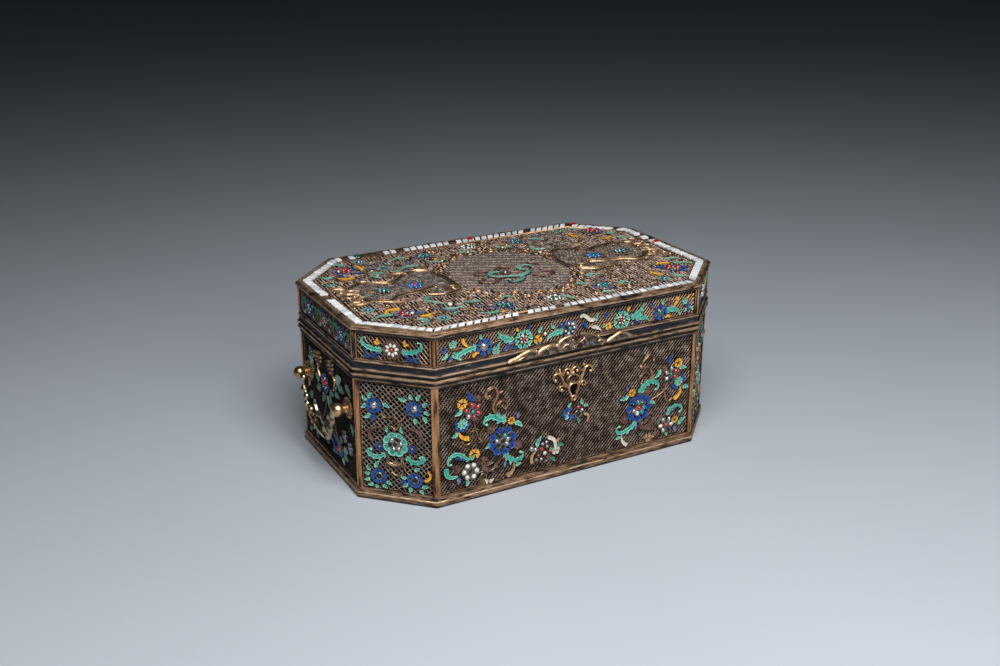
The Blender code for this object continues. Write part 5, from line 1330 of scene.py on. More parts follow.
def low_leaves(b, kind, width, *rows):
    """Flat leaves of one kind, each given as (x and y of the base, x and y of the tip)."""
    for x, y, tip_x, tip_y in rows:
        b.leaf((x, y), (tip_x, tip_y), width, kind, 0.55, 0.15)


def dome_blossom(b, centre, turn=0, stone="sky"):
    b.petals(centre, 1, 4.4, 5, "heart", "turquoise", turn, 0.5, 1, 0.1)
    b.stone(centre, 1.6, stone, 0.8)


def top_corners(b):
    reds = ["garnet", "garnet", "paste", "garnet", "garnet"]
    top_flower(b, (-95.3, 50.6), 7.4, "slate", reds, "emerald", 40, 1.7)
    top_flower(b, (-92.6, -43.5), 7.2, "slate", reds, "teal", 200, 1.7)
    top_flower(b, (99.9, 53.4), 7.4, "slate", ["garnet"] * 5, "emerald", 10, 1.7)
    top_flower(b, (98.3, -46.4), 7.4, "royal", reds, "emerald", 110, 1.7)
    for crescent in ([(-84.6, 58.4), (-83, 53.4), (-83.6, 47)],
                     [(-104.2, 38.6), (-99.4, 33.8), (-93.6, 36)],
                     [(-104, -38), (-99.4, -32.2), (-92.8, -33.8)],
                     [(-78.8, -49.6), (-82.7, -51.6), (-87.4, -51)],
                     [(80.4, 55.2), (79.9, 50), (82.2, 45.2)],
                     [(94, 34.6), (98, 31.8), (103.6, 34.6)],
                     [(93, -34.2), (97.6, -34.4), (102.6, -36.6)],
                     [(80, -46.4), (81, -51), (84, -55.4)]):
        b.curl(crescent, 2, 3.2, "yellow", 0.6)
    for frond in ([(-90.4, 61.2), (-93.4, 65.4), (-98.6, 66)],
                  [(-106.8, 41), (-111.4, 41.8), (-114.6, 47)],
                  [(-109.8, 27.4), (-113.6, 25.6), (-117.2, 31.2)],
                  [(-100.8, -40.6), (-107.9, -39.5), (-114.6, -43)],
                  [(-90, -54.6), (-87.2, -58.4), (-89.2, -63.4), (-93.6, -64.2)],
                  [(92.6, 60.6), (90, 64.6), (85, 66)],
                  [(106, 41.4), (111, 42.6), (114.4, 46)],
                  [(106.6, 31.6), (109.6, 27.6), (114.6, 28)],
                  [(105.6, -28), (110, -29), (114.2, -30.4)],
                  [(105.6, -38.8), (111.3, -40), (115.8, -43.6)],
                  [(89.6, -56.8), (91, -62.4), (96.6, -65)]):
        b.curl(frond, 4.2, 1.1, height=0.6, lobes=3, bead=0.7)
    for spot, stone in (((-78.9, 64), "sky"), ((-110.4, -26.6), "sky"), ((-76.6, -60.4), "sky"),
                        ((78.9, 64), "emerald"), ((79.6, -62.6), "sky")):
        dome_blossom(b, spot, 15, stone)
    for spot, kind in (((-86, 50), "royal"), ((-88, 41.6), "royal"), ((-101, 42), "royal"),
                       ((-84.6, -45), "slate"), ((106.6, -49), "royal"),
                       ((90.4, -41.6), "royal"), ((101.6, -55), "royal")):
        b.petals(spot, 0.2, 2.1, 3, "round", kind, 20, 0.6)


def top_cartouche(b, mx):
    outline = np.array(CARTOUCHES[mx], float)
    ribbon = np.array(RIBBONS[mx], float)
    field = smooth(np.vstack((outline, ribbon[::-1])), 2)
    b.net(field, 2.5, 64 * mx, 0.5, "wire_grey", 0.14, 0.34, step=1.9, weave=0.3)
    b.net(field, 2.6, -24 * mx, 0.3, "wire_low", 0, 0.2)
    b.vine(outline, 2.8, 3, "scroll", 0.6, 0.5, TRAY)
    line = smooth(outline)
    fine = lift(line, 0)
    for hand in (-1, 1):
        b.wire((fine + across(fine, False) * hand * 1.4)[1:-1, :2], 0.3,
               "bright" if hand == mx else "vine", 1, 5)
    b.put(loft(lift(smooth(ribbon), 0.7), 1.7, 0.35, TRAY), "scroll")
    b.vine(ribbon + (0, 1.7), 1, 0.9, "vine", 0.85, 0.4, bead=0.9)
    b.vine(ribbon - (0, 1.7), 0.9, 0.9, "bright", 0.85, 0.4, bead=0.9)
    # Bright gilt laid over three stretches of the frame is a painted highlight
    for start, end in ((0.5, 0.62), (0.74, 0.82), (0.9, 1)):
        part = line[int(start * len(line)):int(end * len(line))]
        b.vine(part, 1, 1, "bright", 1.05, 0.45, steps=1)
    hook = spiral((mx * 47.4, -15), 4.6, 1, 90 - 90 * mx, 450 * mx, 18)
    b.vine(hook, 2.4, 1.4, "vine", 0.8, 0.6, GROOVED)
    b.bead(hook[-1], 1.5, "bright", 0.9)
    for points in ([(104, 2), (110, 5.6), (115.6, 3), (112, -1.6), (108, 0)],
                   [(103, -4), (109, -5), (113.6, -9.6), (108.4, -11.6), (106.4, -8.6)],
                   [(101, 8), (106.4, 11.4), (113, 9.4), (115.8, 13.6)],
                   [(104, 18.6), (109.6, 17), (115.4, 19.6), (112.4, 23.4)],
                   [(101, -14), (107.4, -15.4), (114.4, -15), (116, -19.6)],
                   [(61, 26), (67.6, 29.4), (74, 27), (72.6, 22.6)],
                   [(40, 9), (36.6, 14), (39.4, 19.4), (43.6, 18)],
                   [(40, -18), (36.4, -22.6), (40.4, -27), (45, -25.4)],
                   [(78, -20.8), (85.4, -22.6), (94.8, -20.4), (97, -24)]):
        b.vine([(mx * x, y) for x, y in points], 2, 1.2, "vine" if points[0][0] < 100 else
               "bright", 0.6, 0.45, GROOVED, 4, 0.9)
    centre = (mx * 66.8, 1)
    b.petals(centre, 4.6, 8.8, 9, "round", "bare", 0, 0.5, 0.9, 0.1, rim="bare")
    b.stones(centre, 3.5, 1.5, ["sky"] * 7, 0, 0.85, (1.3, 0.85))
    b.stone(centre, 1.7, "garnet" if mx < 0 else "emerald", 1.05)
    centre = (mx * 88.2, 0.4)
    b.petals(centre, 2.6, 5.8, 6, "slim", "vine", 20, 0.45, 1.2, rim="vine")
    b.stones(centre, 3, 1.5, ["teal", "teal", "paste", "teal", "dark", "teal"], 10, 0.85)
    b.stone(centre, 1.3, "paste", 1)


def cartouche_sprigs(b):
    low_leaves(b, "turquoise", 2.4, (-62.6, 9.6, -57, 9.8), (-61.4, -8.6, -54, -6.6),
               (-102.4, -3.4, -96, -2.4), (-93, 8, -86.6, 4.8), (61, 8, 54.6, 9.6),
               (63.6, -8.2, 55.6, -10.4), (96.4, 0.6, 102.4, -0.4))
    low_leaves(b, "slate", 2.4, (-79, 5, -73.6, 2.8), (76, -5.6, 80.4, -8.4))
    low_leaves(b, "yellow", 2.4, (-98.6, 2.6, -94.6, 0.4))


def top_sides(b):
    teals = ["teal", "teal", "paste", "teal", "teal", "dark"]
    for spot, turn, kinds in (((-35.4, 55.2), 0, teals), ((37.4, 55.6), 20, teals),
                              ((-34.6, -57.4), 10, ["teal", "paste", "teal", "teal", "teal"]),
                              ((37.8, -55.2), 30, teals)):
        top_flower(b, spot, 7, "slate", kinds, "emerald", turn, 1.35)
    for frond in ([(-47.6, 58.8), (-52.6, 59.6), (-58.2, 56.6)],
                  [(-47, 38.4), (-52.8, 39.6), (-58, 38.4), (-61.8, 34.4), (-67.8, 35)],
                  [(-73.8, 35.2), (-79, 36), (-82.2, 30.4), (-79, 25.8)],
                  [(-24, 41.6), (-30.4, 38.6), (-36, 42)],
                  [(-22, -46.8), (-26.2, -43.6), (-31.2, -44.8)],
                  [(-42.4, -65.2), (-47.8, -65.6), (-53, -63.2)],
                  [(-43.9, -43.5), (-48.9, -42.4), (-54.3, -40.9)],
                  [(-66.6, -21), (-72.3, -26.2), (-69.4, -32.6), (-66, -36.8), (-66.6, -43)],
                  [(-69.2, -46.4), (-63, -48.2), (-56.6, -46.6)],
                  [(5.2, -58.6), (7.2, -63.4), (9, -68.2)],
                  [(30.4, -48), (26.6, -43.8), (20.8, -46.4)],
                  [(31.4, -65.4), (38, -67.2)],
                  [(49.4, -57), (53.6, -54.2), (55.8, -58.6)],
                  [(39.6, -35), (43.6, -31.6), (48.6, -34.2)],
                  [(28.4, 47.6), (23.4, 48.2), (18.8, 51.2)],
                  [(48.4, 57.4), (53, 54.8), (56.4, 50.2)],
                  [(38, 37.6), (40.9, 31.6), (46.2, 31.4)],
                  [(-9.6, 51.2), (-4.6, 51.6), (0.2, 46.8)]):
        b.curl(frond, 3.9, 1.1, height=0.6, lobes=3, bead=0.7)
    low_leaves(b, "turquoise", 2.8, (-32.8, -66.4, -28.6, -69), (-62.6, 50, -64.6, 54.6),
               (-68.2, -56.6, -62.6, -55))
    low_leaves(b, "tan", 2.8, (-60.8, -52.4, -57.6, -55.4))
    low_leaves(b, "yellow", 2.8, (-46.6, 60.8, -42.4, 59.2), (-31.4, 44.6, -28.4, 47),
               (-42.2, -67.4, -37.6, -67), (45.4, -58.8, 49.4, -61), (44.4, 59.6, 48.4, 58),
               (24, 54.8, 27, 53))
    low_leaves(b, "slate", 2.8, (-52, 45.4, -46.6, 47), (-61.6, 30, -56.4, 30.8),
               (-75.4, -43, -71, -44.8), (-70.6, -51, -67, -51.6), (-66.6, -51.6, -63.4, -52),
               (41.4, -44, 45.4, -45.4), (-50.4, -52, -45.4, -53.2), (-43, -58.4, -47.4, -56.8))
    blossom = (-69.4, 43.6)
    b.petals(blossom, 1.2, 5, 6, "heart", "turquoise", 0, 0.55, 0.9, 0.1)
    b.petals(blossom, 0.3, 2.6, 5, "round", "slate", 30, 0.75)
    b.petals((-76.2, 46), 0.3, 2.4, 4, "round", "slate", 0, 0.6)
    b.stone((-63.2, -41.2), 1.9, "pearl", 0.8)
    for spot in ((0.6, 60.2), (-1.6, -60.8)):
        b.petals(spot, 2.6, 6.6, 7, "round", "ivory", 0, 0.45, 0.9, 0.1)
        b.stones(spot, 3.5, 1.5, ["paste", "pearl"] * 3 + ["paste"], 0, 0.85)
        b.stone(spot, 1.5, "emerald", 1.05)


def top_oval(b):
    """The oval in the middle: level wires, a row of small scrolls round it, a loose spray."""
    edge = spiral((0, 0), 1, 1, 0, 360, 60)[:-1] * OVAL
    b.net(edge, 2, -28, 0.5, "wire_low", 0.2, -0.3, step=1.7, weave=0.3)
    # The near-black wires across the oval are painted shadow lines between its rows of wire
    b.net(edge, 5.4, -28, 0.75, "dark", 0.1, -0.1, step=3, sway=0.4)
    for i in range(OVAL_SCROLLS):
        angle = TAU * i / OVAL_SCROLLS
        spot = np.add(OVAL, 2.6) * (math.cos(angle), math.sin(angle))
        if abs(spot[0]) > 36 and abs(spot[1]) < 24:
            continue
        turn = math.degrees(math.atan2(spot[1] / (OVAL[1] + 3.6), spot[0] / (OVAL[0] + 3.6)))
        sweep = 250 if i % 2 else -250
        b.vine(spiral(spot, 3.2, 1, turn + 90, sweep, 8), 1.7, 1,
               "vine" if i % 3 else "scroll", 0.7, 0.7, bead=0.8)
        b.vine(spiral(spot * 1.09, 2.4, 0.8, turn - 60, -sweep, 6), 1.3, 0.8,
               "bright" if i % 3 == 0 else "vine", 0.7, 0.6, bead=0.6)
    b.petals((-3.8, -2.6), 0.8, 4, 6, "round", "bare", 0, 0.55)
    b.stone((-3.8, -2.6), 1.6, "paste", 0.9)
    greens = (([(-7, 0.6), (-13.2, 0.4), (-15.4, -5), (-11.4, -9.4), (-5, -10.6)], 3.6),
              ([(-5, -10.6), (1, -12.6), (7.6, -10.6), (11.4, -5.6), (8, -1)], 3.8),
              ([(2.6, -12.6), (1, -17.4), (-3, -21), (-9, -21.6), (-8.4, -17.4)], 3.4),
              ([(8, 0.6), (12, 4.6), (17, 4), (17.6, -1.6)], 3.4))
    for points, width in greens:
        b.put(loft(lift(smooth(points), 0.35), 0.62 * width, 0.3, ROUND[8]), "scroll")
        b.curl(points, width, 1.8, height=0.8, lobes=4, bead=0.9)
    for points in ([(-12.6, 5), (-18, 6.4), (-22.8, 2.6), (-18, -0.6)],
                   [(-13, -10.6), (-20, -16.6), (-27, -12.6), (-22, -7.4)],
                   [(14.6, 7.6), (20.6, 9), (25.4, 3.6)],
                   [(10, -14.4), (17.6, -20.4), (25, -14.4), (19.4, -10.6)],
                   [(-6, 5), (-1, 9), (4, 5.6)]):
        b.put(loft(lift(smooth(points), 0.4), 1.9, 0.3, ROUND[8]), "scroll")
        b.vine(points, 2.6, 1.4, "bare", 0.8, 0.5, GROOVED, 4, 0.9)


def in_oval(x, y):
    return (x / (OVAL[0] + 1)) ** 2 + (y / (OVAL[1] + 1)) ** 2 < 1


def gilt_curls(b):
    """Small gilt curls and grains, thickest at the front and round the cartouches."""
    blooms = ((-95, 50), (-92, -43), (100, 53), (98, -46), (-35, 55), (37, 56), (-35, -57),
              (38, -55), (0, 60), (0, -61), (-70, 43))
    for _ in range(GILT_CURLS):
        x, y = rng.uniform(-113, 113), rng.uniform(-67, 67)
        radius, turn = rng.uniform(1.2, 2.4), rng.uniform(0, 360)
        thin, grain = rng.random(), rng.random()
        busy = (-34 < x < 62 and y < -40) or y > 40 and -30 < x < 30
        flank = 96 < abs(x) and abs(y) < 22
        if abs(x) + abs(y) > 158 or in_oval(x, y):
            continue
        if 40 < abs(x) < 103 and -20 < y < 20 or not (busy or flank or thin < 0.22):
            continue
        if any(math.hypot(x - u, y - v) < 7.6 for u, v in blooms):
            continue
        kind = "bright" if grain < 0.25 else "vine"
        b.vine(spiral((x, y), radius, 0.3 * radius, turn, 250 if thin < 0.5 else -250, 7),
               0.9, 0.6, kind, 0.45, 0.32, steps=1)
        if grain > 0.5:
            b.bead((x + radius, y + 0.6), 0.6, kind, 0.45)


def ground_curls(ground):
    """Small flat curls all over the wire ground, which keep it from looking ruled."""
    for _ in range(GROUND_CURLS):
        x, y = rng.uniform(-116, 116), rng.uniform(-68.5, 68.5)
        radius, turn = rng.uniform(1.3, 2.8), rng.uniform(0, 360)
        shade, sweep = rng.random(), rng.choice((-1, 1)) * rng.uniform(150, 280)
        if abs(x) + abs(y) > 157 or in_oval(x, y):
            continue
        kind = "wire_pink" if shade < 0.5 else "vine" if shade < 0.75 else "scroll"
        path = lift(spiral((x, y), radius, 0.35 * radius, turn, sweep, 5), 0.35)
        ground.put(loft(path, 0.42, 0.3, ROUND[4]), kind)


def build_top():
    place = np.eye(4)
    place[2, 3] = TOP_LEVEL
    field = octagon(FIELD_INSET)
    ground = Bench(Work("lid_top_ground", "lid", "filigree_silver"), place)
    ground.net(field, 2.2, 86, 0.42, "wire_pink", 0.18, -0.2, step=1.5, weave=0.5, sway=0.25)
    for radius, outline in GREY_PATCHES:
        ground.net(smooth(outline, 2), 2.1, 74, radius, "wire_grey", 0.13, 0.1, step=1.5, weave=0.4)
    ground_curls(ground)
    ground.work.make()

    work = Work("lid_top_work", "lid", "filigree_silver", "lid_top_field")
    work.add(plate(field, FIELD_FLOOR + 0.3, FIELD_FLOOR + 0.75, 0, 0.98), "backing")
    b = Bench(work, place, {"turquoise": "sage", "mint": "sage_edge"})
    b.wire(octagon(FIELD_INSET + 0.5), 0.4, "post", 0.2, 6, True)
    b.wire(octagon(FIELD_INSET + 1.5), 0.28, "vine", 0.15, 6, True)
    top_oval(b)
    for mx in (-1, 1):
        top_cartouche(b, mx)
    cartouche_sprigs(b)
    top_corners(b)
    top_sides(b)
    gilt_curls(b)
    work.make()


def channel_part(corners, low, high, lean=0):
    """The part of the border's channel between two shares of its side's length."""
    a, b, c, d = corners
    return np.array((a + (b - a) * low, a + (b - a) * high,
                     d + (c - d) * min(high + lean, 1), d + (c - d) * min(low + lean, 1)))


def build_border():
    """Separate white stones in a channel, some of them lost, and a few coloured ones."""
    work = Work("stone_border_set", "lid", "white_stone", "stone_border")
    outer, inner = octagon(BORDER_OUTER), octagon(BORDER_INNER)
    base, top = FIELD_FLOOR + 0.32, FIELD_FLOOR + 2.55
    for i, side in enumerate(SIDES):
        j = (i + 1) % 8
        a, b, c, d = channel = outer[i], outer[j], inner[j], inner[i]
        work.add(plate(np.array(channel), base, base + 0.6, 0, 0.96), "dark")
        axis = 0 if side in ("front", "back") else 1
        count = round(np.linalg.norm(b - a) / STONE_PITCH)
        for k in range(count):
            share = (k + 0.5) / count
            spot = (a + (b - a) * share + d + (c - d) * share)[axis] / 2
            chance = [odds for start, end, odds in LOST_STONES.get(side, ()) if start < spot < end]
            if rng.random() < (chance[0] if chance else 0.02):
                seat = channel_part(channel, (k + 0.1) / count, (k + 0.9) / count)
                work.add(plate(seat, base, base + 1, -0.1), "bare")
                continue
            low, high = (k + 0.09 + rng.uniform(0, 0.06)) / count, (k + 0.87) / count
            stone = channel_part(channel, low, high, 0.3 / count)
            tilt = np.array([rng.uniform(-0.22, 0.16) for _ in range(4)])
            kind = "white" if rng.random() < 0.7 else "white_dim"
            work.add(plate(stone, base, top - 0.25 + tilt, 0.1, 0.78), kind)
    bench = Bench(work, np.eye(4))
    for x, y, kind in ((-75, 75.6, "emerald"), (11, 75.6, "garnet"), (96, 73, "garnet"),
                       (123, 7, "garnet")):
        bench.stone((x, y), 2.5, kind, top - 0.5, dome=0.6)
    work.make(smooth_below=30)


# Mounts


def build_escutcheon():
    work = Work("keyhole_plate", "body", "gilt_silver", "escutcheon")
    b = Bench(work, side_place("front", GROUND + 0.3))
    middle, key = 1.1, 58.2
    hole = np.vstack((spiral((middle, key), 2.35, 2.35, -52, 284, 14),
                      [(middle - 0.95, 55.6), (middle - 1.1, 52.6), (middle + 1.1, 52.6),
                       (middle + 0.95, 55.6)]))
    # The keyhole is a black plate: painted shade where the hole would be
    b.put(plate(hole, 0, 0.5, 0), "black")
    for hand in (-1, 1):
        b.vine([(middle, 61.3), (middle + 2.4 * hand, 60.8), (middle + 3.5 * hand, 58.8),
                (middle + 3.1 * hand, 56.4), (middle + 2 * hand, 54.4), (middle + 1.9 * hand, 52.4)],
               1.6, 1.5, "bright" if hand < 0 else "vine", 0.9, 0.8)
    ring = spiral((middle, 51.3), 1.5, 1.5, 0, 360, 14)[:-1]
    b.put(loft(lift(ring, 0.9), 0.75, 0.75, ROUND[8], True), "bright")
    for points, start, end, kind, bead in (
            ([(-2.2, 60.2), (-4.6, 61.4), (-6.4, 63.8), (-7.75, 67.2)], 2.1, 1.7, "bright", 0),
            ([(-7.4, 66.6), (-10, 69.6), (-12.8, 69.2), (-13.6, 66.6), (-12, 65.2)], 1.6, 1.4,
             "bright", 1.2),
            ([(-7.9, 67.2), (-8.6, 69.6), (-9.2, 72)], 1.5, 0.9, "bright", 0.8),
            ([(-7, 67.6), (-5.8, 70.4), (-3.4, 71.8), (-1.4, 70.4), (-0.8, 67.6)], 1.7, 1.5,
             "bright", 0),
            ([(-2.8, 58.8), (-5.8, 60.6), (-9, 60.6), (-9.2, 58.4), (-7.4, 58.2)], 1.4, 1.2,
             "bright", 1.1),
            ([(4.4, 60.2), (5.9, 61.8), (7, 64.4), (7.95, 67.4)], 2, 1.6, "bright", 0),
            ([(7.9, 67.2), (9.6, 70.4), (12.6, 70.8), (14.4, 68.4), (13.2, 66.8)], 1.6, 1.4,
             "bright", 1.2),
            ([(7.9, 67.4), (8.4, 70), (8, 72.6)], 1.5, 0.9, "bright", 0.8),
            ([(-0.9, 68), (0.4, 71), (2.8, 72), (5, 70.2), (7.2, 67.8)], 1.6, 1.5,
             "vine", 0),
            ([(5, 59.2), (7.4, 61.4), (9.4, 60.6), (9, 58.7), (7.4, 58.8)], 1.4, 1.2,
             "bright", 1),
            ([(-2.2, 61.4), (-4, 63.8), (-2.4, 66.2), (-0.6, 67)], 1.4, 1.2, "vine", 0.9),
            ([(3.6, 61.6), (5, 64), (3.4, 66.2), (1.2, 67)], 1.4, 1.2, "vine", 0.9)):
        b.vine(points, start, end, kind, 0.9, 0.7, bead=bead)
    for spot, size in (((0.2, 68.4), 1.4), ((-3.4, 68.6), 1.1), ((3.4, 69.2), 1.1)):
        b.bead(spot, size, "bright", 1)
    work.make()


# The outline of the thumb-piece: (u, z)
THUMB = [(-47, 84.9), (-42, 86.4), (-36, 88.9), (-30.9, 90), (-26.5, 88.4),
         (-23.7, 87.6), (-19.5, 89.6), (-15.9, 90.6), (-10, 91.4), (-6.6, 93.2), (-2.3, 94.3),
         (3, 94.4), (8.4, 93.4), (12.6, 91.6), (16.3, 89.8), (20, 88), (23.8, 86.6),
         (27.7, 87.8), (33.4, 89.8), (37, 88.2), (40.6, 86.2), (44, 85)]


def build_thumb_piece():
    work = Work("thumb_crest", "lid", "gilt_silver", "thumb_piece")
    b = Bench(work, side_place("front", WALL + 0.3))
    crest = smooth(THUMB, 3)
    points, faces = [], []
    for u, z in crest:
        points += [(u, 84.6, 0), (u, 84.6, 0.7), (u, max(z, 84.9), 0.7), (u, max(z, 84.9), 0)]
    for i in range(len(crest) - 1):
        for k in range(4):
            m = (k + 1) % 4
            faces.append((4 * i + k, 4 * i + m, 4 * i + 4 + m, 4 * i + 4 + k))
    ends = [(3, 2, 1, 0), tuple(len(points) - 4 + k for k in range(4))]
    b.put((np.array(points, float), [np.array(faces + ends)[:, ::-1]]), "rim")
    b.wire([(-46.2, 85), (43.2, 85)], 0.35, "gilt_dull", 0.8, 6)
    rolls = (
        ([(-36.4, 85.7), (-32.6, 87.6), (-28.8, 87)], 2.6, 2),
        ([(-25.6, 85.6), (-22.6, 86.4), (-19.6, 85.8)], 2.8, 2.2),
        ([(-20.6, 87.8), (-16.6, 88.4), (-13.4, 87), (-12.2, 85.6)], 2.9, 2.2),
        ([(-11.4, 89.6), (-8.8, 91.6), (-5.8, 91.2), (-5.2, 88.8), (-7.4, 88.2)], 2.6, 1.6),
        ([(-8.6, 85.6), (-6.4, 87), (-3.6, 85.8)], 2.4, 2),
        ([(6, 91.8), (9.6, 91.6), (12.6, 89.8), (15.6, 88.8)], 3, 2),
        ([(7.4, 85.7), (7.2, 88.6), (10, 88.9), (10.4, 86.6)], 2.4, 1.8),
        ([(13.4, 86.8), (16.8, 86.4), (19.4, 85.7)], 2.8, 2),
        ([(29.2, 86.2), (33, 87.4), (37.2, 86.2)], 2.4, 1.8))
    for points, start, end in rolls:
        b.vine(points, start, end, "scroll", 0.8, 0.8, bead=0.5 * end)
        # A silver wire along the upper edge of each dark roll is a painted highlight
        highlight_edge = lift(smooth(points, 3), 0)[:, :2] + (-0.1, 0.45)
        b.wire(highlight_edge, 0.35, "silver", 1.5, 5)
    for k in range(7):
        angle = math.radians(22.5 * k + 22.5)
        tip = (1.8 + 4.4 * math.cos(angle), 89.4 + 4.6 * math.sin(angle))
        b.vine([(1.8, 89.2), tip], 0.8, 1.9, "scroll" if k % 2 else "vine", 1.2, 0.8, bead=0.9)
        low = (1.6 + 3.6 * math.cos(angle), 88.2 - 3.2 * math.sin(angle))
        b.vine([(1.6, 88.4), low], 0.7, 1.4, "scroll", 1.1, 0.7, bead=0.7)
    b.bead((1.8, 89.2), 1.6, "vine", 0.7)
    for points, start, end, bead in (
            ([(-46.6, 84.9), (-41, 86.2), (-36, 88.4), (-31.2, 89.8), (-27.4, 88.8)],
             3.2, 1.6, 0.9),
            ([(-44.8, 85.2), (-39.6, 85.4), (-35.6, 86.8)], 1.6, 0.9, 0),
            ([(-26.6, 85.8), (-24.6, 88), (-21, 89.6), (-16.4, 90.2), (-13, 89.6)],
             2.4, 2.4, 1.2),
            ([(-12.4, 89.8), (-10.6, 92), (-6.6, 93.6), (-2.6, 94.2)], 1.9, 1.3, 0),
            ([(3.6, 94.2), (8.4, 93.6), (12.4, 91.8), (16.4, 90.2)], 1.3, 1.5, 0.9),
            ([(15.6, 86.6), (18.4, 87.4), (20.4, 86), (19.2, 84.9)], 1.7, 1.3, 1.1),
            ([(22.6, 85.4), (27.7, 87.8), (33.4, 89.8), (38.4, 87.6), (43.4, 84.9)], 2, 1.5, 0),
            ([(-9.6, 87), (-6.4, 89.4), (-3.6, 88)], 0.9, 0.9, 0)):
        b.vine(points, start, end, "bright", 0.9, 0.6, bead=bead)
    work.make()


# Handles


def upright_place(centre, axis_x):
    """Turns a bench's axes so that its plane is the one of the ends, seen from outside."""
    place = np.eye(4)
    place[:3, 0] = (0, -1, 0) if axis_x < 0 else (0, 1, 0)
    place[:3, 1] = UP
    place[:3, 2] = (axis_x, 0, 0)
    place[:3, 3] = centre
    return place


def build_knobs():
    """Beaded bases with a ball each, whose round faces are turned about the bail's axis."""
    foot, ball = -7.4, 4.2
    base = [(0, 0), (6.1, 0), (6.3, 0.4), (5.6, 0.8), (4.9, 0.5), (4.1, 0.7), (3.5, 1.2), (0, 1.2)]
    neck = [(0, 1.1), (3, 1.2), (3.2, 1.9), (2.4, 2.4), (2.9, 2.8), (2.6, 3.3), (1.9, 3.5)]
    globe = [(ball * math.cos(t), ball * math.sin(t)) for t in np.linspace(-1.08, math.pi / 2, 11)]
    globe[-1] = (0, ball)
    for end, end_name in ((-1, "left"), (1, "right")):
        for depth, depth_name in ((-1, "front"), (1, "back")):
            name = end_name + "_" + depth_name
            work = Work("knob_fine_" + name, "body", "ball_gilt", "knob_" + name)
            centre = (end * KNOB_AT[0], depth * KNOB_AT[1], KNOB_AT[2])
            b = Bench(work, upright_place(centre, end))
            b.put(turned([(radius, foot + rise) for radius, rise in base], 24), "vine")
            b.put(turned([(radius, foot + rise) for radius, rise in neck] + globe, 24), "ball")
            for spot in 6.1 * ring_section(KNOB_BEADS):
                b.bead(spot, 0.8, "vine", foot + 0.7, 0.9)
            work.make()


# The line of a bail: (u, z, radius)
BAIL = [(-28.9, 0, 1.3), (-27.4, 0, 1.3), (-26, -0.9, 2), (-26.2, -3.4, 1),
        (-26.6, -6.4, 1.3), (-25.8, -8.8, 2.2), (-23.6, -10.6, 1.2), (-21.9, -12.4, 2.2),
        (-21.5, -14.6, 1.1), (-21.6, -16.6, 2), (-21, -19, 1), (-19.4, -21.4, 1),
        (-16.6, -22.8, 1.1), (-13.4, -22.6, 1.7), (-10.4, -23.2, 1.3), (-6.6, -24, 1.8),
        (-2, -25.2, 2), (3.4, -26.3, 2), (8.6, -26.6, 1.8), (13.4, -26, 1.6),
        (17.4, -24.2, 1.5), (19.4, -21, 1.3), (20.4, -17.4, 2), (21.2, -14.6, 1.1),
        (22.6, -12.6, 1.5), (24.4, -9.4, 1.3), (25.2, -6, 1.8), (25.2, -2.8, 1.1),
        (26, -0.8, 2), (27.4, 0, 1.3), (28.9, 0, 1.3)]


def build_bails():
    for end, name in ((-1, "left"), (1, "right")):
        work = Work("bail_" + name, "handle_" + name, "handle_silver", "handle_" + name)
        b = Bench(work, upright_place((end * KNOB_AT[0], 0, KNOB_AT[2]), end))
        fine = smooth(BAIL, 5)
        thick = np.minimum(1.22 * fine[:, 2], 2.5)
        b.put(loft(lift(fine, 0), thick, thick, ROUND[12]), "bail")
        for spot, reach in (((14.4, -22.2), 4), ((-7.8, -25.2), 2.9), ((22.6, -10.2), 3),
                            ((-14.6, -19), 2)):
            for share, half_wide, rise in ((1, 1.2, 2.3), (0.4, 0.7, 1.6)):
                ring = spiral(spot, share * reach, share * reach, 0, 360, 20)[:-1]
                b.put(loft(lift(ring, 0), half_wide, rise, ROUND[8], True), "bail")
        for offset in (-0.9, 0.9):
            rod = smooth([(12.4, -19 + offset), (8.4, -17.4 + offset), (3.6, -16.4 + offset)])
            ribs = 0.75 + 0.2 * np.cos(np.arange(len(rod)) * math.pi)
            b.put(loft(lift(rod, 0), ribs, ribs, ROUND[8]), "bail")
        b.vine([(3.6, -16.4), (-0.6, -17.2), (-5, -15.8), (-7.6, -12)], 2.4, 1.2, "bail",
               0, 1, bead=1.1)
        b.vine([(-2.4, -17), (-4.6, -19.2), (-8, -19.4)], 1.8, 1.1, "bail", 0, 0.9, bead=1)
        for spot in ((3, -16.4), (17.2, -20.4), (-11.2, -20.8)):
            b.bead(spot, 1.4, "bail", 0, 1)
        work.make()


# Hinges


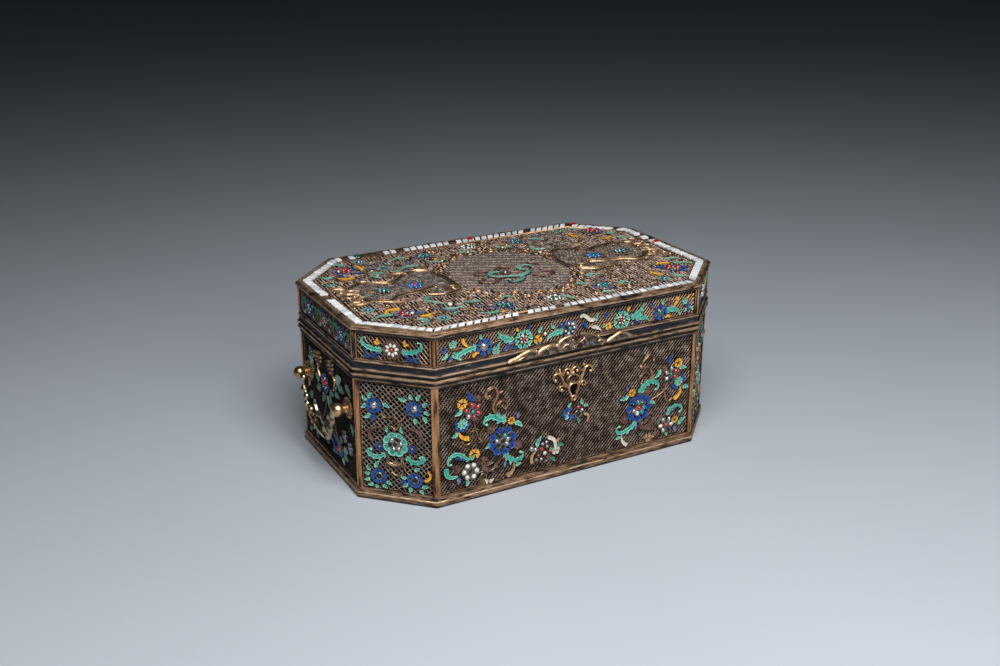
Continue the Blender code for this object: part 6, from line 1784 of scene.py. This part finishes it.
def dress_hinges():
    for name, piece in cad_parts.items():
        if name.startswith("hinge_"):
            kind = "gilt_dull" if "leaf" in name else "bail"
            piece.data.materials.clear()
            piece.data.materials.append(MATERIALS[kind])


# Stage and camera


def lamp(name, at, size, power, aim):
    light = bpy.data.lights.new(name, "AREA")
    light.shape = "DISK"
    light.size = size
    light.energy = power
    made = bpy.data.objects.new(name, light)
    made.location = at
    made.rotation_euler = (Vector(aim) - Vector(at)).to_track_quat("-Z", "Y").to_euler()
    bpy.context.scene.collection.objects.link(made)


def build_stage():
    reach = 6
    mesh = bpy.data.meshes.new("floor")
    corners = [(-reach, -reach, 0), (reach, -reach, 0), (reach, reach, 0), (-reach, reach, 0)]
    mesh.from_pydata(corners, [], [(0, 1, 2, 3)])
    mesh.materials.append(surface("floor_paper", [(0.3, (0.395, 0.43, 0.475)),
                                                  (0.7, (0.415, 0.45, 0.495))],
                                  3, metallic=0, rough=(0.7, 0.8)))
    floor = bpy.data.objects.new("floor", mesh)
    bpy.context.scene.collection.objects.link(floor)

    lamp("key", (-0.2, -0.6, 0.9), size=0.8, power=15.5, aim=(-0.1, -0.6, 0))
    lamp("low", (0, -0.95, 0.6), size=0.5, power=2.8, aim=(0, -0.6, 0))
    world = bpy.data.worlds.new("studio")
    world.use_nodes = True
    background = world.node_tree.nodes["Background"]
    background.inputs["Color"].default_value = (0.55, 0.8, 1, 1)
    background.inputs["Strength"].default_value = 0.02
    bpy.context.scene.world = world


def set_view():
    bpy.context.scene.view_settings.view_transform = "Standard"
    camera = bpy.data.cameras.new("camera")
    camera.lens = LENS
    camera.sensor_width = 36
    made = bpy.data.objects.new("camera", camera)
    made.location = CAMERA_AT
    made.rotation_euler = Vector(CAMERA_AIM).to_track_quat("-Z", "Y").to_euler()
    bpy.context.scene.collection.objects.link(made)
    bpy.context.scene.camera = made


build_stage()
set_view()
build_shells()
build_panels()
build_top()
build_border()
build_escutcheon()
build_thumb_piece()
build_knobs()
build_bails()
dress_hinges()
